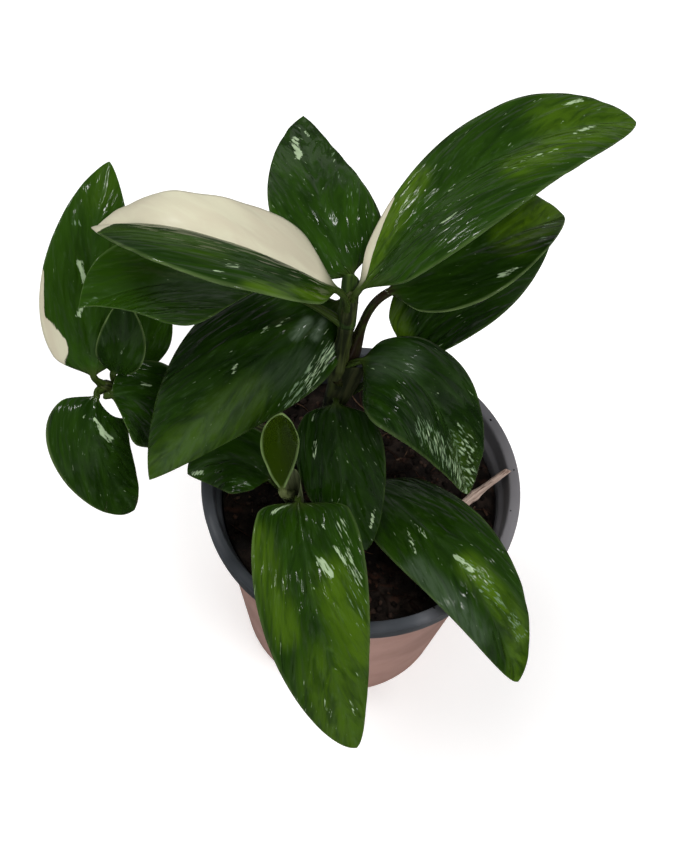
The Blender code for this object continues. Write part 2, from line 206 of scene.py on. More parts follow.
# Each round lamp, in metres: place, height of its aim on the Z axis, width, power in watts, and
# whether it is mirrored in glossy surfaces.
LAMPS = {
    "key": ((-0.5, 0.15, 1.35), 0.12, 0.9, 12.2, False),
    "fill": ((0.55, -0.6, 1.25), 0.12, 0.9, 11.0, False),
    "glint_left": ((-0.65, 0.25, 1.2), 0.15, 0.15, 2.4, True),
    "glint_front": ((0.6, -0.3, 1.3), 0.15, 0.15, 1.9, True),
}

# The grey mark kind is a painted sheen, grey-green where the leaf's gloss catches light.
MARK_KINDS = ("cream", "fleck", "marble", "grey", "lime", "olive")
LEAF_FIELDS = (*MARK_KINDS, "under", "stalk", "margin", "rib")

# What a leaf has where LEAVES doesn't say. A key that ends in _tip holds at the tip. The blade
# leaves its midrib at the fold angle and bends down by the curl angle. skew widens the half at
# +1 and narrows the other, and skew_mid does so in the middle. widest and point place and shape
# its broadest part. stalk is a radius, and foot is how much it swells at the stem. crease scales
# the midrib's groove, and crinkle the relief's strength in the shader.
PLAIN_LEAF = dict(
    face=(0, 0, 1), fold=15, curl=20, skew=0, skew_mid=0, widest=0.42, point=0.75, stalk=1.2,
    foot=0.55, crease=1, crinkle=0.85, cream_half=False, stalk_tint=STALK_GREEN,
)

# Each leaf's midrib runs from base through mid to tip, and its stalk leaves the stem at a height.
# tone lightens the green, flecks sets how many pale flecks are strewn, partly real flecks and
# partly painted glints, and edge is the pale margin line's strength and width. Then come its
# marks of each kind, each along a line on the blade: (s, u) of its start, (s, u) of its end, half
# its width and its strength. s runs along the midrib, and u across the blade, +1 at the left
# margin.
# A grey mark paints sheen: grey-green where the leaf's gloss catches light.
LEAVES = {
    "leaf_top_right": dict(
        stem="stem_main", height=212, base=(-10, 15, 220), mid=(27, 54, 245), tip=(74, 80, 241),
        width=42, face=(-0.2, 0.3, 0.93), face_tip=(-0.1, 0, 1), skew=-0.38, skew_tip=0.08, fold=17,
        widest=0.45, point=0.68, tone=0.5, flecks=0.5, edge=(0.25, 0.5),
        cream=[(-0.02, 1, 0.22, 1.06, 1.9, 1)],
        fleck=[(0.79, 0.57, 0.85, 0.77, 0.8, 0.9), (0.77, -0.23, 0.85, -0.13, 0.8, 0.8),
            (0.56, -0.47, 0.68, -0.57, 0.7, 0.7), (0.26, -0.77, 0.31, -0.8, 0.7, 0.8)],
        marble=[(0.86, 0.7, 1, -0.3, 6, 0.7)],
        lime=[(0, 0.6, 0.3, 0.75, 4.5, 0.75), (0.75, 0.2, 1, 0.1, 9, 0.5),
            (0.55, -0.6, 1, -0.5, 6, 0.6)],
    ),
    "leaf_cream": dict(
        stem="stem_main", height=206, base=(-17, 12, 223), mid=(-61, 12, 245), tip=(-96, 22, 226),
        width=42, face=(0, 0.25, 0.97), fold=17, fold_tip=35, curl=28, skew=-0.3, skew_mid=0.5,
        skew_tip=-0.25, widest=0.34, point=0.65, tone=0.3, flecks=0.35, edge=(0.5, 0.4),
        cream_half=True, crinkle=0.35,
        cream=[(0.92, -0.1, 0.92, 1, 8.5, 1.1)],
        fleck=[(0.39, 0.83, 0.41, 0.83, 0.7, 0.7), (0.35, 0.62, 0.38, 0.64, 0.9, 0.85)],
        lime=[(0.45, 0.45, 0.8, 0.55, 6, 0.2), (0.02, 0.8, 0.3, 0.95, 2.8, 0.7)],
    ),
    "leaf_top_back": dict(
        stem="stem_main", height=208, base=(-13, 23, 216), mid=(-27, 49, 224), tip=(-37, 97, 203),
        width=35, fold_tip=-5, curl=10, skew_tip=0.1, widest=0.33, tone=0.5, flecks=0.8,
        edge=(0.15, 0.4),
        fleck=[(0.71, 0.27, 0.85, 0.48, 1.2, 1), (0.85, -0.1, 0.89, -0.02, 0.7, 0.7),
            (0.45, 0.13, 0.52, 0.18, 0.5, 0.6)],
        marble=[(0.4, 0.68, 0.46, 0.75, 2.5, 0.8), (0.45, -0.6, 0.75, -0.6, 4, 0.65)],
    ),
    "leaf_centre_left": dict(
        stem="stem_main", height=178, base=(-16, 25, 196), mid=(-44, 0, 184), tip=(-73, -31, 158),
        width=47, face=(0.1, -0.3, 0.95), fold=-5, fold_tip=10, curl=37, skew_mid=-0.05,
        skew_tip=-0.3, widest=0.39, point=0.86, tone=0.2, flecks=0.5, edge=(0.15, 0.5),
        fleck=[(0.14, 0.7, 0.34, 0.85, 3.2, 0.54), (0.5, -0.25, 0.53, -0.22, 0.7, 0.75),
            (0.26, -0.29, 0.29, -0.26, 0.7, 0.75), (0.32, -0.37, 0.35, -0.37, 0.5, 0.7)],
        marble=[(0.16, 0.7, 0.45, 0.95, 4.5, 1)],
        grey=[(0.17, -0.02, 0.25, 0.04, 1.7, 1.05), (0.12, 0.17, 0.18, 0.27, 1.5, 1),
            (0.3, 0.45, 0.92, 0.1, 4.5, 0.22)],
        lime=[(0.55, 0.4, 0.98, 0.1, 7, 0.38)],
    ),
    # Its tone is raised to make up for the weak light that falls on it: painted light.
    "leaf_left_under": dict(
        stem="stem_main", height=199, base=(-40, 21, 206), mid=(-72, 17, 208), tip=(-100, 4, 206),
        width=39, fold=3, fold_tip=35, curl=-5, skew=-0.18, skew_mid=0.55, skew_tip=-0.48,
        widest=0.52, point=1.1, tone=1, flecks=0.35, edge=(0.25, 0.5), crinkle=0.6,
        marble=[(0.9, -0.6, 1, 0.6, 3, 0.7)],
        grey=[(0.2, 0, 0.5, 0.1, 5, 0.4), (0.2, 0.6, 0.42, 0.35, 1.5, 0.55)],
    ),
    "leaf_right_upper": dict(
        stem="stem_main", height=170, leave=(-6, 18, 184), base=(0, 25, 206), mid=(28, 41, 214),
        tip=(57, 65, 206), width=39, fold=-15, fold_tip=30, curl=12, skew_tip=0.25, widest=0.46,
        stalk=1.5, tone=0.35, flecks=0.35, edge=(0.7, 0.55), crinkle=0.5,
        stalk_tint=(0.016, 0.01, 0.006), foot=1.7,
        fleck=[(0.51, -0.57, 0.58, -0.6, 1, 0.85)],
        marble=[(0.78, -0.5, 0.94, 0, 3.2, 0.9)],
        lime=[(0.68, -0.1, 0.95, 0.6, 6.5, 0.9)],
    ),
    "leaf_right_lower": dict(
        stem="stem_main", height=156, leave=(-4, 14, 164), base=(9, 22, 176), mid=(27, 48, 184),
        tip=(57, 83, 178), width=35, face=(0.1, -0.2, 1), fold=35, fold_tip=-20, curl=-6, skew=0.03,
        skew_mid=0.07, skew_tip=-0.26, widest=0.38, point=0.64, tone=0.25, flecks=0.55,
        edge=(0.2, 0.5),
        lime=[(0, 0.5, 0.12, 0.9, 4, 0.7)],
    ),
    "leaf_right_inner": dict(
        stem="stem_main", height=172, base=(-6, 10, 185), mid=(18, 3, 180), tip=(38, -10, 136),
        width=39, face=(0.4, -0.2, 0.9), fold_tip=28, curl=30, skew=-0.4, skew_tip=0.15, point=0.7,
        tone=0.15, flecks=0.55, edge=(0.3, 0.5), foot=1.3,
        fleck=[(0.62, -0.7, 0.98, -0.2, 4, 0.5), (0.8, 0.3, 0.98, 0.1, 4, 0.48)],
        marble=[(0.55, -0.75, 1, -0.2, 6, 1), (0.76, 0.1, 1, 0.2, 6.5, 1)],
        grey=[(0.15, -0.2, 0.3, 0.3, 5, 0.3)],
        lime=[(0.8, 0, 1, 0, 6, 0.3)],
    ),
    "leaf_centre_front": dict(
        stem="stem_main", height=152, base=(-13, 5, 163), mid=(-8, -12, 148), tip=(4, -32, 125),
        width=32, face=(0, -0.5, 0.85), fold=3, point=0.65, tone=0.1, flecks=0.6, edge=(0.2, 0.4),
        fleck=[(0.81, 0.65, 0.89, 0.56, 0.7, 0.8), (0.3, -0.53, 0.4, -0.57, 0.7, 0.85)],
    ),
    # Its tone is raised to make up for the weak light that falls on it: painted light.
    "leaf_far_left": dict(
        stem="stem_left", height=160, base=(-98, 3, 165), mid=(-102, 29, 190), tip=(-101, 66, 204),
        width=34, face=(0, -0.4, 0.9), fold=3, curl=12, skew_tip=0.05, widest=0.35, tone=0.8,
        flecks=0.5, edge=(0.15, 0.4),
        cream=[(0.14, 0.97, 0.2, 1.1, 6.5, 1), (0.2, 1.06, 0.48, 1.06, 1.9, 1)],
        fleck=[(0.45, 0.07, 0.54, 0.23, 1, 0.9), (0.3, 0.2, 0.37, 0.1, 1, 0.85)],
        marble=[(0.72, 0.5, 0.8, 0.9, 2.5, 0.8)],
        lime=[(0.85, 0, 1, 0, 7, 0.2)],
    ),
    "leaf_left_back_1": dict(
        stem="stem_left", height=155, base=(-91, 4, 167), mid=(-88, 8, 181), tip=(-89, 18, 193),
        width=17, face=(0.1, -0.7, 0.7), tone=0.3, flecks=0.3, edge=(0.7, 0.6),
    ),
    "leaf_left_back_2": dict(
        stem="stem_left", height=150, base=(-85, 13, 155), mid=(-82, 20, 169), tip=(-81, 32, 180),
        width=18, face=(0.2, -0.7, 0.7), widest=0.5, tone=1, flecks=0.2, edge=(0.2, 0.4),
    ),
    "leaf_left_low": dict(
        stem="stem_left", height=159, leave=(-98, -1, 160), base=(-96, -4, 162),
        mid=(-94, -18, 155), tip=(-81, -27, 124), width=30, face=(0.25, -0.3, 0.9), fold=-18,
        fold_tip=0, curl=12, skew=-0.1, widest=0.46, point=0.5, tone=0.3, flecks=0.75,
        edge=(0.5, 0.4),
        fleck=[(0.29, 0.1, 0.53, 0.4, 1.2, 0.85)],
        marble=[(0.3, -0.4, 0.8, 0.2, 7, 0.5)],
    ),
    "leaf_left_inner": dict(
        stem="stem_left", height=156, leave=(-92, -2, 160), base=(-91, -4, 165), mid=(-77, -2, 157),
        tip=(-60, -8, 141), width=31, face=(0, -0.2, 1), fold=8, curl=4, widest=0.46, point=1,
        tone=0.3, flecks=0.4, edge=(0.3, 0.4),
        fleck=[(0.33, 0.38, 0.4, 0.42, 0.8, 0.85)],
    ),
    "leaf_soil_left": dict(
        stem="stem_front", height=118, leave=(-28, -12, 124), base=(-33, -14, 136),
        mid=(-48, -10, 140), tip=(-63, -14, 132), width=26, face=(0, -0.2, 1), tone=0.4, flecks=0.4,
        edge=(0.3, 0.5),
        fleck=[(0.86, 0.4, 0.95, 0.27, 1, 0.85)],
        marble=[(0.15, 0.75, 0.75, 0.95, 1.8, 0.8)],
    ),
    "leaf_young": dict(
        stem="stem_front", height=132, base=(-28, -22, 144), mid=(-30, -17, 169),
        tip=(-30, -18, 192), width=15, face=(0, -0.8, 0.5), fold=0, curl=-50, skew=0.1,
        skew_tip=-0.1, widest=0.62, point=0.5, stalk=1.6, tone=0.35, flecks=0, edge=(1, 1.3),
        crease=0, crinkle=0.03, stalk_tint=(0.11, 0.13, 0.05),
        olive=[(0, 0, 1, 0, 12, 1)],
    ),
    "leaf_front": dict(
        stem="stem_front", height=124, leave=(-22, -23, 133), base=(-22, -25, 142),
        mid=(-11, -61, 134), tip=(9, -97, 100), width=42, face=(0.1, -0.2, 1), fold=34, fold_tip=-2,
        curl=6, skew=0.05, skew_tip=-0.17, widest=0.32, point=0.6, tone=0.5, flecks=0.6,
        edge=(0.3, 0.5),
        fleck=[(0.31, 0.24, 0.37, 0.38, 1.4, 1), (0.25, 0.52, 0.35, 0.67, 0.8, 0.9),
            (0.16, 0.74, 0.45, 0.86, 1.8, 0.5), (0.02, -0.53, 0.09, -0.65, 0.8, 0.85),
            (0.8, -0.57, 0.85, -0.6, 0.6, 0.6), (0.85, 0.3, 0.9, 0.4, 0.6, 0.65)],
        marble=[(0.12, 0.75, 0.6, 0.88, 4.5, 0.75)],
        lime=[(0.4, 0.4, 0.7, 0.8, 7, 0.7), (0.2, -0.85, 0.55, -0.7, 5, 0.6),
            (0.75, 0, 1, 0, 12, 0.55)],
    ),
    "leaf_right_front": dict(
        stem="stem_front", height=110, base=(2, -1, 119), mid=(38, -36, 130), tip=(65, -64, 97),
        width=37, face=(0.2, -0.2, 1), fold=-5, fold_tip=20, curl=25, skew_tip=0.15, widest=0.35,
        point=0.65, tone=0.4, flecks=0.4, edge=(0.25, 0.5),
        fleck=[(0.26, -0.33, 0.35, -0.5, 0.7, 0.8), (0.27, -0.12, 0.34, -0.17, 0.6, 0.75),
            (0.46, 0.03, 0.54, 0.12, 1, 1)],
        marble=[(0.52, 0.12, 0.84, 0.6, 4, 0.95)],
        grey=[(0.4, -0.7, 0.75, -0.6, 4, 0.45)],
        lime=[(0.52, 0.12, 0.86, 0.7, 4.4, 0.8), (0.85, 0.5, 1, 0.4, 5, 0.7)],
    ),
}


def unit(vectors):
    vectors = np.asarray(vectors, float)
    return vectors / np.linalg.norm(vectors, axis=-1, keepdims=True)


def together(*parts):
    """Points from their components, which are spread to one shape."""
    return np.stack(np.broadcast_arrays(*parts), axis=-1)


def turns(count):
    """The angles of this many even steps round a full turn."""
    return math.tau * np.arange(count) / count


def polar(radius, angle, height):
    return together(radius * np.cos(angle), radius * np.sin(angle), height)


def path_length(points):
    """How far each point is from the first one along the path."""
    return np.concatenate([[0], np.cumsum(np.linalg.norm(np.diff(points, axis=0), axis=1))])


def about(path, side, up, out, rise):
    """Points beside a path: each row's place, moved by out along its side and by rise along up."""
    return path[:, None] + side[:, None] * out[..., None] + up[:, None] * rise[..., None]


def smooth_step(value, low, high):
    t = np.clip((value - low) / (high - low), 0, 1)
    return t * t * (3 - 2 * t)


def lattice_noise(points, cell, seed):
    """Smooth noise from 0 to 1: random values on a cubic lattice, blended between its corners."""
    scaled = np.asarray(points, float) / cell
    corner = np.floor(scaled)
    share = scaled - corner
    share = share * share * (3 - 2 * share)
    total = np.zeros(scaled.shape[:-1])
    for step in np.ndindex(2, 2, 2):
        key = (corner + step) @ np.array([127.1, 311.7, 74.7]) + 19.19 * seed
        value = np.sin(key) * 43758.5453
        weight = np.where(np.array(step) == 1, share, 1 - share).prod(axis=-1)
        total += weight * (value - np.floor(value))
    return total


def bezier(points, t):
    """Points of the Bezier curve with these control points, at each t, by repeated blending."""
    points = [np.asarray(p, float) for p in points]
    t = np.asarray(t, float)[:, None]
    while len(points) > 1:
        points = [a + (b - a) * t for a, b in zip(points, points[1:])]
    return points[0]


def smooth_run(points, values, steps):
    """A Catmull-Rom curve through the points, with the values blended along it."""
    points = np.asarray(points, float)
    ends = np.vstack([2 * points[0] - points[1], points, 2 * points[-1] - points[-2]])
    t = (np.arange(steps) / steps)[:, None]
    run = []
    for a, b, c, d in zip(ends, ends[1:], ends[2:], ends[3:]):
        square = (2 * a - 5 * b + 4 * c - d) * t**2
        cube = (3 * b - a - 3 * c + d) * t**3
        run.append(0.5 * (2 * b + (c - a) * t + square + cube))
    run = np.vstack([*run, points[-1:]])
    values = np.interp(np.linspace(0, len(points) - 1, len(run)), range(len(points)), values)
    return run, values


def build_mesh(name, vertices, faces, materials, fields=None, uv=None):
    """A piece at the origin from points in millimetres, with its named fields and UV map."""
    mesh = bpy.data.meshes.new(name)
    mesh.from_pydata((np.asarray(vertices) * MM).tolist(), [], faces)
    if uv is not None:
        layer = mesh.uv_layers.new(name="veins")
        corner = np.empty(len(mesh.loops), dtype=np.int32)
        mesh.loops.foreach_get("vertex_index", corner)
        layer.data.foreach_set("uv", np.asarray(uv, np.float32)[corner].ravel())
    for field, values in (fields or {}).items():
        values = np.asarray(values, np.float32)
        kind, part = ("FLOAT_VECTOR", "vector") if values.ndim == 2 else ("FLOAT", "value")
        mesh.attributes.new(field, kind, "POINT").data.foreach_set(part, values.ravel())
    for material in materials:
        mesh.materials.append(material)
    mesh.shade_smooth()
    piece = bpy.data.objects.new(name, mesh)
    bpy.context.scene.collection.objects.link(piece)
    return piece


def ring_faces(rows, columns, first=0):
    """Quads of a grid of rows that closes round its columns."""
    row, column = np.mgrid[0 : rows - 1, 0:columns]
    here = row * columns + column + first
    after = row * columns + (column + 1) % columns + first
    quads = np.stack([here, after, after + columns, here + columns], axis=-1)
    return quads.reshape(-1, 4).tolist()


def closed_skin(name, grid, materials, fields=None, uv=None, flip=False):
    """A closed skin from rings of points, with a pole point in the middle of each end ring."""
    rows, columns = grid.shape[:2]

    def with_poles(values):
        flat = values.reshape(rows * columns, *values.shape[2:])
        return np.concatenate([flat, values[:1].mean(axis=1), values[-1:].mean(axis=1)])

    faces = ring_faces(rows, columns)
    start, end, last = rows * columns, rows * columns + 1, (rows - 1) * columns
    for column in range(columns):
        after = (column + 1) % columns
        faces += [[start, after, column], [end, last + column, last + after]]
    if flip:
        faces = [face[::-1] for face in faces]
    fields = {key: with_poles(values) for key, values in (fields or {}).items()}
    uv = None if uv is None else with_poles(uv)
    return build_mesh(name, with_poles(grid), faces, materials, fields, uv)


def dress(piece, node=None):
    """The piece rides on the only body and hides its CAD node."""
    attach(piece, "root")
    if node:
        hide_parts(node)
    return piece


class Nodes:
    """Puts nodes in one tree. What goes into a node is a value or another node's socket."""

    def __init__(self, tree):
        self.tree = tree

    def feed(self, socket, value):
        if isinstance(value, bpy.types.NodeSocket):
            self.tree.links.new(value, socket)
        else:
            socket.default_value = (*value, 1.0) if socket.type == "RGBA" else value

    def add(self, kind, inputs=None, **settings):
        made = self.tree.nodes.new(kind)
        for key, value in settings.items():
            setattr(made, key, value)
        for key, value in (inputs or {}).items():
            self.feed(made.inputs[key], value)
        return made.outputs

    def math(self, operation, *values):
        return self.add("ShaderNodeMath", dict(enumerate(values)), operation=operation)[0]

    def plus(self, a, b):
        return self.math("ADD", a, b)

    def times(self, a, b):
        return self.math("MULTIPLY", a, b)

    def scaled(self, value, factor, shift):
        return self.math("MULTIPLY_ADD", value, factor, shift)

    def between(self, value, low, high, to_low=0.0, to_high=1.0):
        """A smooth step of the value from low to high."""
        inputs = {
            "Value": value, "From Min": low, "From Max": high, "To Min": to_low, "To Max": to_high,
        }
        return self.add("ShaderNodeMapRange", inputs, interpolation_type="SMOOTHSTEP")["Result"]

    def blend(self, factor, a, b):
        """Colour a where the factor is 0, and b where it is 1."""
        return self.add("ShaderNodeMix", {0: factor, 6: a, 7: b}, data_type="RGBA")[2]

    def noise(self, vector, scale=1.0, detail=2.0, roughness=0.5):
        inputs = {"Vector": vector, "Scale": scale, "Detail": detail, "Roughness": roughness}
        return self.add("ShaderNodeTexNoise", inputs)["Fac"]

    def grain(self, vector, scale, detail=3.0, roughness=0.5, shift=(0, 0, 0)):
        """Noise with its own scale on each axis, and long where that scale is small."""
        inputs = {"Vector": vector, "Scale": scale, "Location": shift}
        moved = self.add("ShaderNodeMapping", inputs)["Vector"]
        return self.noise(moved, 1.0, detail, roughness)

    def place(self, kind="Object"):
        return self.add("ShaderNodeTexCoord")[kind]

    def axis(self, vector, index):
        return self.add("ShaderNodeSeparateXYZ", {0: vector})[index]

    def field(self, name, kind="Fac"):
        return self.add("ShaderNodeAttribute", attribute_name=name)[kind]

    def group(self, name, inputs):
        return self.add("ShaderNodeGroup", inputs, node_tree=bpy.data.node_groups[name])


def new_group(name, inputs, outputs):
    """A node group's Nodes, its given inputs and the outputs to feed. Most sockets are numbers."""
    group = bpy.data.node_groups.new(name, "ShaderNodeTree")
    kinds = {"Vein": "Vector", "Position": "Vector", "Stalk Tint": "Color", "Color": "Color"}
    for side, keys in (("INPUT", inputs), ("OUTPUT", outputs)):
        for key in keys:
            kind = "NodeSocket" + kinds.get(key, "Float")
            group.interface.new_socket(key, in_out=side, socket_type=kind)
    given = group.nodes.new("NodeGroupInput").outputs
    return Nodes(group), given, group.nodes.new("NodeGroupOutput").inputs


class Finish(Nodes):
    """The nodes of a new material around its one Principled shader."""

    def __init__(self, name, specular):
        self.material = bpy.data.materials.new(name)
        self.material.use_nodes = True
        super().__init__(self.material.node_tree)
        self.shader = self.tree.nodes["Principled BSDF"].inputs
        self.feed(self.shader["Specular IOR Level"], specular)

    def done(self, colour, roughness, height=None, strength=None, distance=None):
        """Feeds the shader, with bump from the height, and hands back the material."""
        self.feed(self.shader["Base Color"], colour)
        self.feed(self.shader["Roughness"], roughness)
        if height is not None:
            inputs = {"Height": height, "Strength": strength, "Distance": distance}
            self.feed(self.shader["Normal"], self.add("ShaderNodeBump", inputs)["Normal"])
        return self.material


def streaks_group():
    """Noise drawn out along the side veins: short across them and long along them."""
    inputs = ("Vein", "Across", "Along", "Seed", "Detail")
    net, given, result = new_group("vein_streaks", inputs, ("Value",))
    scale = net.add("ShaderNodeCombineXYZ", {0: given["Across"], 1: given["Along"], 2: 1.0})[0]
    shift = net.add("ShaderNodeCombineXYZ", {2: given["Seed"]})[0]
    wander = net.add("ShaderNodeTexNoise", {"Vector": given["Vein"], "Scale": 0.9, "Detail": 1.0})
    place = shift
    for vector, factor in ((given["Vein"], scale), (wander["Color"], (1.6, 1.6, 0.0))):
        inputs = {0: vector, 1: factor, 2: place}
        place = net.add("ShaderNodeVectorMath", inputs, operation="MULTIPLY_ADD")[0]
    net.feed(result["Value"], net.noise(place, 1.0, given["Detail"], 0.55))


def blade_group():
    """Leaf colour: green tones, marbling, flecks that are partly painted glints, cream sectors
    and a painted sheen, all along the side veins.
    """
    inputs = ["Vein", "Seed", "Tone", "Flecks", "Stalk Tint", *map(str.capitalize, LEAF_FIELDS)]
    net, given, result = new_group("variegated_blade", inputs, ("Color", "Roughness", "Height"))

    def streaks(across, along, offset, detail=3.0):
        seed = net.plus(given["Seed"], offset)
        inputs = {
            "Vein": given["Vein"], "Across": across, "Along": along, "Seed": seed, "Detail": detail,
        }
        return net.group("vein_streaks", inputs)["Value"]

    def rough_edge(mark, texture, amount, low, high):
        """The mark's soft mask cut along streaks, so that its edge is ragged."""
        cut = net.scaled(net.plus(texture, -0.5), amount, given[mark])
        return net.between(cut, low, high)

    broad = streaks(1.0, 2.2, 0.3)
    cloud = streaks(0.55, 1.1, 5.1)
    fine = streaks(3.2, 6.0, 9.7)
    marbling = streaks(2.6, 5.4, 13.3)
    specks = streaks(3.8, 4.4, 17.9)
    feather = streaks(5.2, 7.0, 29.3)
    crinkle = streaks(2.2, 8.0, 23.1, 1.0)
    quilt = streaks(1.2, 4.4, 37.9, 0.4)

    tone = net.scaled(broad, 0.55, net.times(cloud, 0.45))
    tone = net.plus(tone, net.scaled(given["Tone"], 0.42, -0.21))
    colour = net.blend(net.between(tone, 0.16, 0.8), DEEP_GREEN, MID_GREEN)
    lime = net.times(given["Lime"], net.between(broad, 0.32, 0.6, 0.3, 1.0))
    pale_lines = net.between(fine, 0.55, 0.75, 0.0, 0.08)
    # Painted sheen: the grey marks, cut along streaks.
    grey = net.times(given["Grey"], net.between(marbling, 0.3, 0.6, 0.4, 1.0))

    # Marbling and flecks: where streaks rise over a gate, which a stronger mark lowers.
    # The strewn flecks are partly painted glints.
    gate = net.scaled(given["Marble"], -0.27, 0.76)
    mixed = net.scaled(feather, 0.5, net.times(marbling, 0.5))
    marble = net.between(mixed, gate, net.plus(gate, 0.1))
    marble = net.times(marble, net.between(given["Marble"], 0.05, 0.35))
    # Strewn pale flecks: partly real flecks, partly painted glints standing in for sparkles on the
    # gloss.
    gate = net.scaled(given["Flecks"], -0.11, 0.76)
    scattered_flecks_and_glints = net.times(net.between(specks, gate, net.plus(gate, 0.045)), 0.7)
    flecks = net.math("MAXIMUM", scattered_flecks_and_glints, rough_edge("Fleck", feather, 2.4, 0.5, 0.9))

    cream = rough_edge("Cream", fine, 0.35, 0.46, 0.54)
    plain = net.scaled(cream, -1.0, 1.0)
    creams = net.blend(net.between(cloud, 0.3, 0.7), CREAM, CREAM_SHADE)
    margin = net.times(given["Margin"], net.between(broad, 0.25, 0.6, 0.4, 1.0))
    coats = (
        (lime, LIME_GREEN),
        (pale_lines, MARBLE_GREEN),
        (given["Olive"], OLIVE),
        (grey, PAINTED_SHEEN_GREEN),
        (marble, MARBLE_GREEN),
        (flecks, PALE_FLECK_AND_GLINT),
        (cream, creams),
        (net.times(given["Under"], 0.75), net.blend(cream, UNDER_GREEN, CREAM_UNDER)),
        (net.times(margin, plain), MARGIN_GREEN),
        (net.times(given["Rib"], net.times(plain, 0.15)), UNDER_GREEN),
        (given["Stalk"], net.blend(net.between(fine, 0.4, 0.7), given["Stalk Tint"], STALK_GREEN)),
    )
    for mask, coat in coats:
        colour = net.blend(mask, colour, coat)
    net.feed(result["Color"], colour)

    rough = net.scaled(broad, 0.16, 0.05)
    rough = net.scaled(given["Under"], 0.22, rough)
    net.feed(result["Roughness"], net.scaled(cream, 0.22, rough))
    height = net.scaled(crinkle, 0.35, net.times(broad, 0.3))
    height = net.scaled(quilt, 1.9, height)
    net.feed(result["Height"], net.times(height, net.scaled(cream, -0.9, 1.0)))


def mottle_group():
    """Two sizes of noise on Object coordinates, as a mask and a height."""
    inputs = ("Position", "Large", "Small")
    net, given, result = new_group("mottle", inputs, ("Mask", "Height"))
    large = net.noise(given["Position"], given["Large"], 3.0, 0.6)
    small = net.noise(given["Position"], given["Small"], 4.0, 0.6)
    net.feed(result["Mask"], large)
    net.feed(result["Height"], net.scaled(small, 0.7, net.times(large, 0.3)))


def leaf_material(name, leaf, seed):
    net = Finish(name, specular=0.24)
    inputs = {
        "Vein": net.add("ShaderNodeUVMap", uv_map="veins")["UV"], "Seed": seed * SEED_STEP,
        "Tone": leaf["tone"], "Flecks": leaf["flecks"], "Stalk Tint": leaf["stalk_tint"],
    }
    for key in LEAF_FIELDS:
        inputs[key.capitalize()] = net.field(key)
    given = net.group("variegated_blade", inputs)
    return net.done(given["Color"], given["Roughness"], given["Height"], leaf["crinkle"], 0.0007)


def stem_material(name, brown_to, green_from, greens=STEM_GREENS):
    """Green stem with long pale stripes, turning brown towards its foot."""
    net = Finish(name, specular=0.35)
    bark = net.field("bark", "Vector")
    stripes = net.grain(bark, (2.2, 2.2, 0.45))
    blotch = net.grain(bark, (0.8, 0.8, 0.9), 2.0, shift=(3, 1, 2))
    green = net.blend(net.between(stripes, 0.42, 0.62), *greens)
    brown = net.blend(net.between(stripes, 0.4, 0.65), *BROWNS)
    uneven = 0.03
    level = net.scaled(blotch, uneven, net.axis(net.place(), 2))
    low = net.between(level, green_from * MM + uneven / 2, brown_to * MM + uneven / 2)
    colour = net.blend(low, green, brown)
    roughness = net.between(stripes, 0.3, 0.7, 0.62, 0.42)
    return net.done(colour, roughness, stripes, strength=0.5, distance=0.0004)


def plastic_material(name, tones, roughness, haze=None, dust_and_painted_light=None):
    """Cloudy moulded plastic with fine specks; haze is a pale band below the collar, and the last
    colour pales the side at +X, partly as a dusty film and partly as painted light where that side
    is lit."""
    net = Finish(name, specular=0.4)
    place = net.place()
    given = net.group("mottle", {"Position": place, "Large": 28.0, "Small": 420.0})
    colour = net.blend(net.between(given["Mask"], 0.35, 0.68), *tones)
    if haze:
        top = COLLAR_BOTTOM * MM
        band = net.between(net.axis(place, 2), top - 0.022, top - 0.002)
        cloud = net.grain(place, (60, 60, 22), 4.0, 0.65)
        band = net.times(band, net.between(cloud, 0.35, 0.65, 0.25, 0.8))
        colour = net.blend(band, colour, haze)
    # Pales the +X side: partly a dusty film, partly painted light where that side is lit.
    if dust_and_painted_light:
        layer = net.scaled(given["Mask"], 0.03, net.axis(place, 0))
        colour = net.blend(net.between(layer, 0.035, 0.08), colour, dust_and_painted_light)
    specks = net.between(net.noise(place, 900.0), 0.68, 0.78, 0.0, 0.35)
    colour = net.blend(specks, colour, SPECK_BROWN)
    rough = net.between(given["Mask"], 0.3, 0.7, roughness + 0.08, roughness - 0.06)
    return net.done(colour, rough, given["Height"], strength=0.18, distance=0.0003)


def soil_material():
    dark, light, rust = SOIL_BROWNS
    net = Finish("potting_soil", specular=0.25)
    place = net.place()
    given = net.group("mottle", {"Position": place, "Large": 210.0, "Small": 1500.0})
    colour = net.blend(net.between(given["Mask"], 0.42, 0.7), dark, light)
    red = net.grain(place, (120, 260, 180), shift=(4, 2, 1))
    colour = net.blend(net.between(red, 0.55, 0.75, 0.0, 0.8), colour, rust)
    rough = net.between(given["Mask"], 0.3, 0.7, 0.75, 0.98)
    return net.done(colour, rough, given["Height"], strength=0.8, distance=0.0006)


def chip_material(name, colours, roughness):
    """Bits of bark, crumbs or fibres, each with its own shade from the field 'shade'."""
    dark, middle, pale = colours
    net = Finish(name, specular=0.25)
    shade = net.field("shade")
    colour = net.blend(net.between(shade, 0.2, 0.6), dark, middle)
    colour = net.blend(net.between(shade, 0.72, 0.97), colour, pale)
    grain = net.grain(net.place(), (900, 900, 500))
    colour = net.blend(net.between(grain, 0.4, 0.7, 0.0, 0.6), colour, dark)
    return net.done(colour, roughness, grain, strength=0.6, distance=0.0004)


